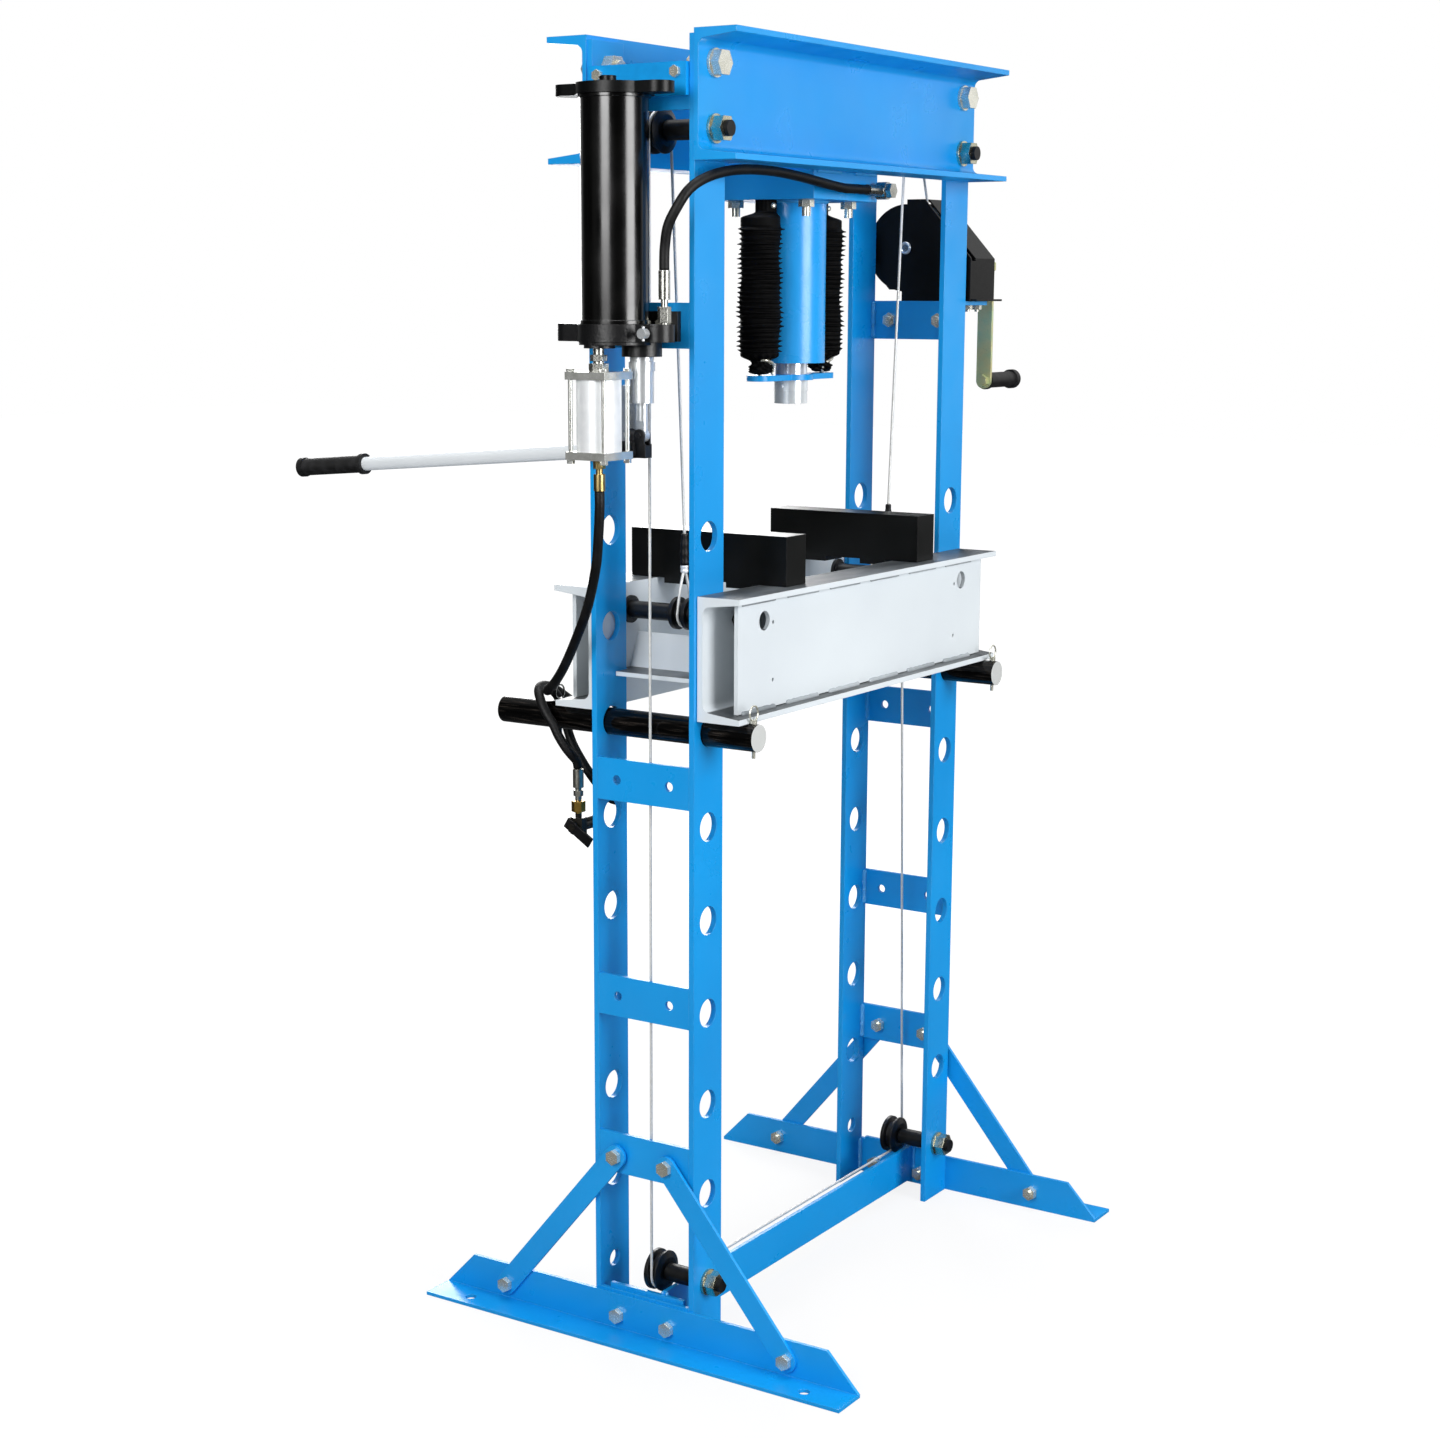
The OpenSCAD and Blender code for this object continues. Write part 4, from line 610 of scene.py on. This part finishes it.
for side, word in ((-1, "left"), (1, "right")):
    rope = wire_rope(f"upper_rope_{word}", line(
        (side * AXLE_X, ROPE_Y, SLING_TOP_Z), (side * (PULLEY_X - ROPE_R), ROPE_Y, PULLEY_TOP_Z), ROPE_STEP) * MM,
        ROPE_D * MM)
    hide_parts("rope_upper")
    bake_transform(rope)
lower_rope = wire_rope("lower_rope", line(
    (SLING_LOW_X, LOW_ROPE_Y, SLING_LOW_Z), (PULLEY_X + ROPE_R, ROPE_Y, PULLEY_LOW_Z), ROPE_STEP) * MM, ROPE_D * MM)
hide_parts("rope_lower")
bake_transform(lower_rope)

turn = np.radians(np.linspace(180, 180 + 360 * 4, 4 * 75 + 1))
drum_path = np.stack([first_turn_x + 4.6 * (turn - math.pi) / TAU, DRUM_Y + DRUM_ROPE_R * np.cos(turn),
                      DRUM_Z + DRUM_ROPE_R * np.sin(turn)], 1)
wound = wire_rope("rope_on_drum", drum_path * MM, ROPE_D * MM)
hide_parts("drum_rope")
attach(wound, "drum")


def sling(word, x, y, up, end_x, end_z):
    """Rope loop round a spool, pressed ferrule and shrunk sleeve, as one body's pieces.

    up is 1 where the sling leaves the spool upwards and -1 downwards; end_x, end_z is where its sleeve ends.
    """
    loop_r = 17.2
    neck_z = AXLE_Z + up * 58
    neck_x = x + (end_x - x) * 0.45
    sleeve_x = x + (end_x - x) * 0.53
    loop = arc((x, y, AXLE_Z), loop_r, 180 if up > 0 else 0, 360 if up > 0 else 180, 2.0)
    first, last = loop[0], loop[-1]
    rope = wire_rope(f"sling_loop_{word}", joined(
        spline([(neck_x + np.sign(first[0] - x) * 2.1, y, neck_z), (x + (first[0] - x) * 0.62, y, AXLE_Z + up * 32),
                tuple(first)], 2.0), loop,
        spline([tuple(last), (x + (last[0] - x) * 0.62, y, AXLE_Z + up * 32),
                (neck_x + np.sign(last[0] - x) * 2.1, y, neck_z)], 2.0)) * MM, ROPE_D * MM)
    ferrule_path = line((neck_x, y, neck_z - up * 3), (sleeve_x, y, neck_z + up * 9), 0.5)
    t = np.linspace(0, 1, len(ferrule_path))
    ferrule = sweep(f"sling_ferrule_{word}", ferrule_path * MM,
                    (5.5 - 1.4 * np.exp(-(t / 0.10) ** 2) - 1.4 * np.exp(-((1 - t) / 0.10) ** 2)
                     - 0.5 * np.exp(-((t - 0.5) / 0.12) ** 2)) * MM, aluminium, 24)
    sleeve_path = line((sleeve_x, y, neck_z + up * 7), (end_x, y, end_z), 0.8)
    t = np.linspace(0, 1, len(sleeve_path))
    sleeve = sweep(f"sling_sleeve_{word}", sleeve_path * MM,
                   (6.0 - 2.2 * t ** 3 - 1.0 * np.exp(-(t / 0.05) ** 2) + 0.3 * np.sin(t * 21)) * MM,
                   hose_rubber, 24)
    for piece in (rope, ferrule, sleeve):
        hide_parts("rope_slings")
        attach(piece, "bed")


sling("left", -AXLE_X, ROPE_Y, 1, -AXLE_X, SLING_TOP_Z)
sling("right", AXLE_X, ROPE_Y, 1, AXLE_X, SLING_TOP_Z)
sling("low", AXLE_X, LOW_ROPE_Y, -1, SLING_LOW_X, SLING_LOW_Z)


# Spring sleeves: folded cloth tubes round the return springs
SPRING_X, HOOK_X = 84.0, 70.0
SLEEVE_BOTTOM, SLEEVE_TOP = 1353.0, 1546.0
BLOCK_BOTTOM = 1568.0
FOLD_BOTTOM, FOLD_TOP = SLEEVE_BOTTOM + 7, SLEEVE_TOP - 14
FOLD_COUNT, RINGS_PER_FOLD = 26, 9
SLEEVE_R, LIP_R = 27.0, 6.0
SLEEVE_COLUMNS = 96
# outline of the tied knot and of the cloth gathered above it
FOOT_Z = [1330.5, 1332.0, 1335.0, 1339.0, 1343.0, 1346.5, 1349.0, 1351.0, 1353.0, 1355.5, FOLD_BOTTOM - 0.4]
FOOT_R = [7.0, 11.5, 14.5, 15.5, 14.0, 11.5, 12.5, 16.5, 21.5, 25.5, 27.2]
KNOT_TOP, SLIP_TOP = 1348.0, 1350.0
random = np.random.default_rng(7)


def sleeve_folds(side, a):
    """Rings of the folds: r = 27 + 6 height ragged(a) lip(t) + bulge, each fold with its own height and tilt."""
    t = np.arange(FOLD_COUNT * RINGS_PER_FOLD) / RINGS_PER_FOLD
    fold = np.floor(t).astype(int)
    height = random.uniform(0.45, 1.08, FOLD_COUNT)[fold][:, None]
    tilt = random.uniform(-1.6, 1.6, (FOLD_COUNT, 2))[fold]
    phase = random.uniform(0, TAU, (FOLD_COUNT, 3))[fold]
    lip = np.exp(-((t - fold - 0.45) / 0.20) ** 2)[:, None]
    ragged = (1 + 0.24 * np.sin(3 * a + phase[:, :1]) + 0.18 * np.sin(7 * a + phase[:, 1:2])
              + 0.10 * np.sin(17 * a + phase[:, 2:3]))
    bulge = 1.0 * np.sin(0.9 * t[:, None] / 3 + side) + 0.7 * np.sin(3 * a + t[:, None] * 0.7)
    r = SLEEVE_R + LIP_R * np.clip(height * ragged, 0.35, 1.05) * lip + bulge
    lean = (tilt[:, :1] * np.cos(a) + tilt[:, 1:] * np.sin(a)) * lip
    return r, FOLD_BOTTOM + (FOLD_TOP - FOLD_BOTTOM) * (t / FOLD_COUNT)[:, None] + lean


def sleeve_foot(side, a):
    """Rings of the foot: its outline times 1 + lumps on the knot and 15 pleats in the gathered cloth."""
    z = np.linspace(FOOT_Z[0], FOOT_Z[-1], 34)[:, None] + 0 * a
    knot = np.clip((KNOT_TOP - z) / 5.0, 0, 1)
    lump = 0.16 * np.sin(3 * a + side + 0.22 * z) + 0.12 * np.sin(5 * a - 0.5 * z) + 0.09 * np.sin(8 * a + 0.9 * z)
    pleat = 0.07 * np.sin(15 * a + 0.5) * np.clip((FOLD_BOTTOM - z) / 6, 0, 1)
    return np.interp(z, FOOT_Z, FOOT_R) * (1 + knot * lump + (1 - knot) * pleat), z


def sleeve_neck(side, a):
    """Rings of the shoulder and neck: r = 28 - 13 s with s = u^2 (3 - 2 u), shifted by s to the spring's hook."""
    z = FOLD_TOP + (BLOCK_BOTTOM - 0.4 - FOLD_TOP) * np.linspace(0, 1, 26)[:, None] + 0 * a
    u = np.clip((z - (SLEEVE_TOP - 3)) / 9.0, 0, 1)
    shoulder = u * u * (3 - 2 * u)
    r = 28.0 + 0.5 * np.sin(2 * a + 1) - shoulder * 13.0 + 0.35 * np.sin(17 * a) * shoulder
    return r, z, -side * (SPRING_X - HOOK_X) * shoulder


def spring_sleeve(side, word):
    """Sleeve of rings (x + r cos a, y + r sin a, z), whose knot is slipped to one side of the spring."""
    a = np.arange(SLEEVE_COLUMNS)[None, :] / SLEEVE_COLUMNS * TAU
    fold_r, fold_z = sleeve_folds(side, a)
    foot_r, foot_z = sleeve_foot(side, a)
    neck_r, neck_z, neck_x = sleeve_neck(side, a)
    slip = np.clip((SLIP_TOP - foot_z) / 5.0, 0, 1)
    r = np.vstack([foot_r, fold_r, neck_r])
    z = np.vstack([foot_z, fold_z, neck_z])
    x = np.vstack([slip * (-5 if side < 0 else -9), 0 * fold_r, neck_x])
    y = np.vstack([slip * -4, 0 * fold_r, 0 * neck_r])
    grid = np.stack([side * SPRING_X + x + r * np.cos(a), y + r * np.sin(a), z], -1) * MM
    piece = grid_piece(f"spring_sleeve_{word}", grid, sleeve_cloth, uv=(z.mean(1) * MM, TAU * SLEEVE_R * MM))
    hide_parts("spring_covers")
    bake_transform(piece)


SPRING_TURNS, SPRING_WIRE_R = 22, 2.4
COIL_R, COIL_LOW_Z, COIL_TOP_Z = 15.5, 1362, 1538
for side, word in ((-1, "left"), (1, "right")):
    spring_sleeve(side, word)
    # the spring inside, hooked into the plate below and the block above
    s = np.linspace(0, 1, SPRING_TURNS * 20 + 1)
    angle = TAU * SPRING_TURNS * s
    coil = np.stack([side * SPRING_X + COIL_R * np.cos(angle), COIL_R * np.sin(angle),
                     COIL_LOW_Z + (COIL_TOP_Z - COIL_LOW_Z) * s], 1)
    hook = spline([tuple(coil[-1]), (side * (SPRING_X - 3), 2, 1548), (side * HOOK_X, 0, 1556),
                   (side * HOOK_X, 0, 1581)], 4.0)
    foot = spline([(side * SPRING_X, 0, 1323), (side * SPRING_X, 0, 1345), (side * (SPRING_X + 6), 0, 1356),
                   tuple(coil[0])], 4.0)
    spring = sweep(f"return_spring_{word}", joined(foot, coil, hook) * MM, SPRING_WIRE_R * MM, drum_steel, 10)
    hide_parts("return_springs")
    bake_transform(spring)


# Weld beads along hand-welded seams
RIPPLE_MM = 2.3
BEAD_STEP = 0.6
BEAD_COLUMNS = 10


def bead(path, radius_mm, seed):
    """Rings along a seam with r = R (1 + 0.16 |sin(pi s / ripple)| + 0.10 noise), tapered at both ends."""
    path = np.array(path, float)
    s = lengths(path)
    noise = np.random.default_rng(seed)
    slow = np.interp(s, np.linspace(0, s[-1], 14), noise.uniform(-1, 1, 14))
    ends = np.clip(np.minimum(s, s[-1] - s) / 2.5, 0.0, 1.0) ** 0.5
    r = radius_mm * (0.15 + 0.85 * ends) * (1 + 0.16 * np.abs(np.sin(math.pi * s / RIPPLE_MM)) + 0.10 * slow)
    _, side, up = frames(path)
    angle = np.arange(BEAD_COLUMNS) / BEAD_COLUMNS * TAU
    wander = 0.35 * slow[:, None, None]
    return path[:, None] + wander * side[:, None] + r[:, None, None] * (
        np.cos(angle)[None, :, None] * side[:, None] + np.sin(angle)[None, :, None] * up[:, None])


def weld(name, seams, body, material):
    """All seams of one body as one mesh of closed beads; a seam is (path in mm, radius in mm)."""
    points, faces, base = [], [], 0
    for number, (path, radius) in enumerate(seams):
        grid = bead(path, radius, number)
        faces += tube_faces(*grid.shape[:2], base)
        points.append(grid.reshape(-1, 3))
        base += len(points[-1])
    mesh = bpy.data.meshes.new(name)
    mesh.from_pydata((np.vstack(points) * MM).tolist(), [], faces)
    piece = put(name, mesh, material)
    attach(piece, body)


CROSS_PLATE_LEVELS = (31, 264, 492, 796, 1401, 1697)
PLATE_SEAM_X, PLATE_SEAM_Y, PLATE_SEAM_HALF = 366.5, 74.5, 28
BARREL_SEAM_R, BARREL_SEAM_Z = 48.6, 1567.4
BLOCK_SEAM_Y, BLOCK_SEAM_Z = 87.6, 1605.4
SPREADER_SEAM_X = 360.6
seams = []
# cross plates to the uprights
for level in CROSS_PLATE_LEVELS:
    for sx in (-1, 1):
        for sy in (-1, 1):
            x, y = sx * PLATE_SEAM_X, sy * PLATE_SEAM_Y
            seams.append((line((x, y, level - PLATE_SEAM_HALF), (x, y, level + PLATE_SEAM_HALF), BEAD_STEP), 4.0))
# cylinder to the head block, and the block to the head channels
ring = np.radians(np.linspace(0, 357, 400))
around = np.stack([BARREL_SEAM_R * np.cos(ring), BARREL_SEAM_R * np.sin(ring), 0 * ring + BARREL_SEAM_Z], 1)
seams.append((around, 2.6))
for sy in (-1, 1):
    for first, last in ((-80, -14), (22, 82)):
        y, z = sy * BLOCK_SEAM_Y, BLOCK_SEAM_Z
        seams.append((line((first, y, z), (last, y, z), BEAD_STEP), 2.8))
# spreader to its end plates
for sx in (-1, 1):
    for y in (-30.6, -23.4):
        seams.append((line((sx * SPREADER_SEAM_X, y, 15), (sx * SPREADER_SEAM_X, y, 70), BEAD_STEP), 2.3))
# glossy ripples painted lighter than the frame's blue, with near-white crests, as painted highlights in the blue
# corners
weld_coat_painted_highlight = coat("weld_bead_painted_highlight", "#5DB8F3", "#2093DA", "#D6EDFA", 0.16, 0.60, 0.8)
weld("frame_weld_beads", seams, "frame", weld_coat_painted_highlight)

BED_SEAM_Y = 134.4
STITCH_PITCH, STITCH_LENGTH = 113, 84
seams = []
# stitches under and over the bed's closing plates, and short seams at its pulley axles
for sy in (-1, 1):
    for z, radius in ((898.2, 3.0), (1042.8, 2.0)):
        for first in range(-338, 330, STITCH_PITCH):
            y, last = sy * BED_SEAM_Y, first + STITCH_LENGTH
            seams.append((line((first, y, z), (last, y, z), BEAD_STEP), radius))
    for sx in (-1, 1):
        seams.append((line((sx * 296, sy * 83.6, 936.6), (sx * 324, sy * 83.6, 936.6), BEAD_STEP), 2.2))
# grey ripples painted darker than the bed's flat sides as painted shade along the seams, with paler crests as
# painted highlights
grey_weld_painted_shade = coat("grey_weld_bead_painted_shade", "#B9C0C5", "#80878C", "#E4E8EA", 0.34, 0.60, 0.8)
weld("bed_weld_beads", seams, "bed", grey_weld_painted_shade)


def turned_piece(name, centre, axis, outline, material, body, columns=40):
    """Turned piece in mm: a ring of radius r at h along the axis from centre, for each (h, r) of the outline."""
    axis = np.array(axis, float) / np.linalg.norm(axis)
    path = np.array(centre, float) + np.array([h for h, _ in outline])[:, None] * axis
    side = np.cross(axis, [0.0, 1.0, 0.3])
    side /= np.linalg.norm(side)
    up = np.cross(axis, side)
    angle = np.arange(columns) / columns * TAU
    r = np.array([r for _, r in outline])[:, None, None]
    grid = path[:, None] + r * (np.cos(angle)[None, :, None] * side + np.sin(angle)[None, :, None] * up)
    piece = grid_piece(name, grid * MM, material)
    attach(piece, body)


# chrome ring pressed on the near end of the drum's axle
turned_piece("drum_axle_ring", (378, 25, 1510), (-1, 0, 0),
             [(-1.5, 8.2), (-1.5, 8.6), (0.4, 9.6), (2.2, 9.3), (2.9, 8.3), (2.9, 6.6), (1.2, 4.8)],
             chrome, "drum", 48)

for side, word in ((-1, "left"), (1, "right")):
    # bent hook of the spring, coming out of the knot and down to the plate
    bends = [(96, -9, 1351), (90, -15, 1350), (80, -17, 1347), (72, -15, 1344), (69, -12, 1338), (69, -11, 1330)]
    hook_path = spline([(side * x, y, z) for x, y, z in bends], 1.2)
    hook = sweep(f"spring_hook_{word}", hook_path * MM, 2.3 * MM, zinc, 14)
    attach(hook, "ram")
    # screw that holds the neck of the sleeve
    turned_piece(f"sleeve_neck_screw_{word}", (side * 74.5, -14.2, 1560), (-0.55, -0.84, 0),
                 [(-2, 2.0), (0, 2.0), (0.2, 3.8), (2.2, 3.8), (2.8, 3.0)], zinc, "frame", 24)


# Carried-over solids and their finishes
FINISH = {
    "upright_front_left upright_front_right upright_rear_left upright_rear_right cross_plates foot_left "
    "foot_right brace_bars spreader_bar head_beam_front head_beam_rear head_block "
    "spring_plate winch_bracket": blue_coat,
    "bed_channel_front bed_channel_rear bed_plates": grey_coat,
    "reservoir_tube": black_coat,
    "press_plate_left press_plate_right": satin_black,
    "winch_housing": winch_paint,
    "cylinder_barrel": barrel_coat_painted_light,
    "pump_top_cap": cap_finish,
    "pulley_axles": stud_finish,
    "pump_base lever_bracket bed_axles pulley_top_left pulley_top_right pulley_low_left "
    "pulley_low_right valve_lever": cast_black,
    "handle_tube": handle_coat,
    "frame_bolts clip_left clip_right": zinc,
    "hose_fittings": fitting_finish,
    "crank_arm": yellow_zinc,
    "plunger_housing release_knob plunger_rod": tool_steel,
    "ram_rod": chrome,
    "ram_nose": nose_steel,
    "air_motor": motor_finish,
    "air_valve": valve_metals,
    "winch_drum": drum_finish,
    "crank_shaft": drum_steel,
    "bed_pin_left bed_pin_right": black_bar,
    "handle_grip crank_grip": grip_rubber,
}
for names, finish in FINISH.items():
    for name in names.split():
        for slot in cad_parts[name].material_slots:
            slot.material = finish


# Floor, world and lamps
def most(tree, first, second):
    """The greater of two values."""
    return add(tree, "Math", {0: first, 1: second}, operation="MAXIMUM").outputs[0]


def build_floor():
    """White floor that keeps a faint shadow near the press and is dimmer for bounced and mirrored light."""
    material, tree, bsdf, coords = start("white_studio_floor", **{"Roughness": 0.7, "Specular IOR Level": 0.1})
    seen = add(tree, "LightPath").outputs
    bounced = blend_colour(tree, seen["Is Glossy Ray"], "#B4B6B8", "#3C3D3E")
    drive(tree, bsdf, Base_Color=blend_colour(tree, seen["Is Camera Ray"], bounced, "#F4F5F6"))
    away = add(tree, "VectorMath", {0: coords}, operation="LENGTH").outputs["Value"]
    glow = add(tree, "Emission", {"Color": (1, 1, 1, 1), "Strength": ramp(tree, away, 0.8, 2.2, 0.985, 1.2)})
    bright = both(tree, seen["Is Camera Ray"], 0.86)
    mix = add(tree, "MixShader", {0: bright, 1: bsdf.outputs[0], 2: glow.outputs[0]})
    output = next(n for n in tree.nodes if n.type == "OUTPUT_MATERIAL")
    tree.links.new(mix.outputs[0], output.inputs["Surface"])
    mesh = bpy.data.meshes.new("floor")
    mesh.from_pydata([(-20, -20, 0), (20, -20, 0), (20, 20, 0), (-20, 20, 0)], [], [(0, 1, 2, 3)])
    mesh.materials.append(material)
    put("floor", mesh)


def build_world():
    """White to the camera, dim to bounced light, and dark with upright light walls and strips to mirrored light.

    turn_angle goes round the upright axis from the direction towards the camera, positive to its left.
    """
    world = bpy.data.worlds.new("studio")
    bpy.context.scene.world = world
    world.use_nodes = True
    tree = world.node_tree
    tree.nodes.clear()
    seen = add(tree, "LightPath").outputs
    direction = add(tree, "TexCoord").outputs["Generated"]
    near, left = [add(tree, "VectorMath", {0: direction, 1: axis}, operation="DOT_PRODUCT").outputs["Value"]
                  for axis in ((-0.84, -0.55, 0.0), (-0.55, 0.84, 0.0))]
    turn_angle = add(tree, "Math", {0: left, 1: near}, operation="ARCTAN2").outputs[0]
    right_wall = both(tree, ramp(tree, turn_angle, -1.74, -1.88, 0.0, 0.95), ramp(tree, turn_angle, -2.95, -2.6))
    rear_wall = ramp(tree, turn_angle, 2.2, 2.9, 0.0, 0.9)
    left_wall = both(tree, ramp(tree, turn_angle, 0.95, 1.10, 0.0, 0.10), ramp(tree, turn_angle, 1.5, 1.3))
    left_strip = both(tree, ramp(tree, turn_angle, 0.26, 0.40, 0.0, 1.5), ramp(tree, turn_angle, 0.86, 0.72))
    right_strip = both(tree, ramp(tree, turn_angle, -1.28, -1.14, 0.0, 1.2), ramp(tree, turn_angle, -0.72, -0.86))
    level = right_wall
    for part in (rear_wall, left_wall, left_strip, right_strip):
        level = most(tree, level, part)
    height = add(tree, "SeparateXYZ", {0: direction}).outputs[2]
    upper = both(tree, level, ramp(tree, height, 0.75, 0.60))
    upper = both(tree, upper, ramp(tree, height, -0.30, -0.12))
    shiny = most(tree, upper, ramp(tree, height, 0.62, 0.85, 0.02, 0.6))
    mirrored = most(tree, seen["Is Glossy Ray"], seen["Is Transmission Ray"])
    strength = add(tree, "Mix", {0: mirrored, 2: 0.22, 3: shiny}, data_type="FLOAT").outputs[0]
    strength = add(tree, "Mix", {0: seen["Is Camera Ray"], 2: strength, 3: 1.0}, data_type="FLOAT").outputs[0]
    sky = add(tree, "Background", {"Color": (1, 1, 1, 1), "Strength": strength})
    add(tree, "OutputWorld", {"Surface": sky.outputs[0]})


def lamp(name, place, target, size, power):
    """Square soft box at place that faces target, both in metres."""
    data = bpy.data.lights.new(name, "AREA")
    data.shape = "SQUARE"
    data.size = size
    data.energy = power
    light = bpy.data.objects.new(name, data)
    light.location = place
    light.rotation_euler = (Vector(target) - Vector(place)).to_track_quat("-Z", "Y").to_euler()
    bpy.context.scene.collection.objects.link(light)


build_floor()
build_world()
lamp("front_soft_box", (-0.45, -3.8, 1.9), (0, 0, 1.0), 2.0, 130)
lamp("left_soft_box", (-3.8, -0.2, 2.4), (0, 0, 1.1), 1.7, 92)
lamp("rear_soft_box", (2.6, 2.6, 2.1), (0, 0, 1.0), 1.8, 85)
lamp("top_soft_box", (0.2, 0.2, 4.6), (0, 0, 0), 2.5, 120)
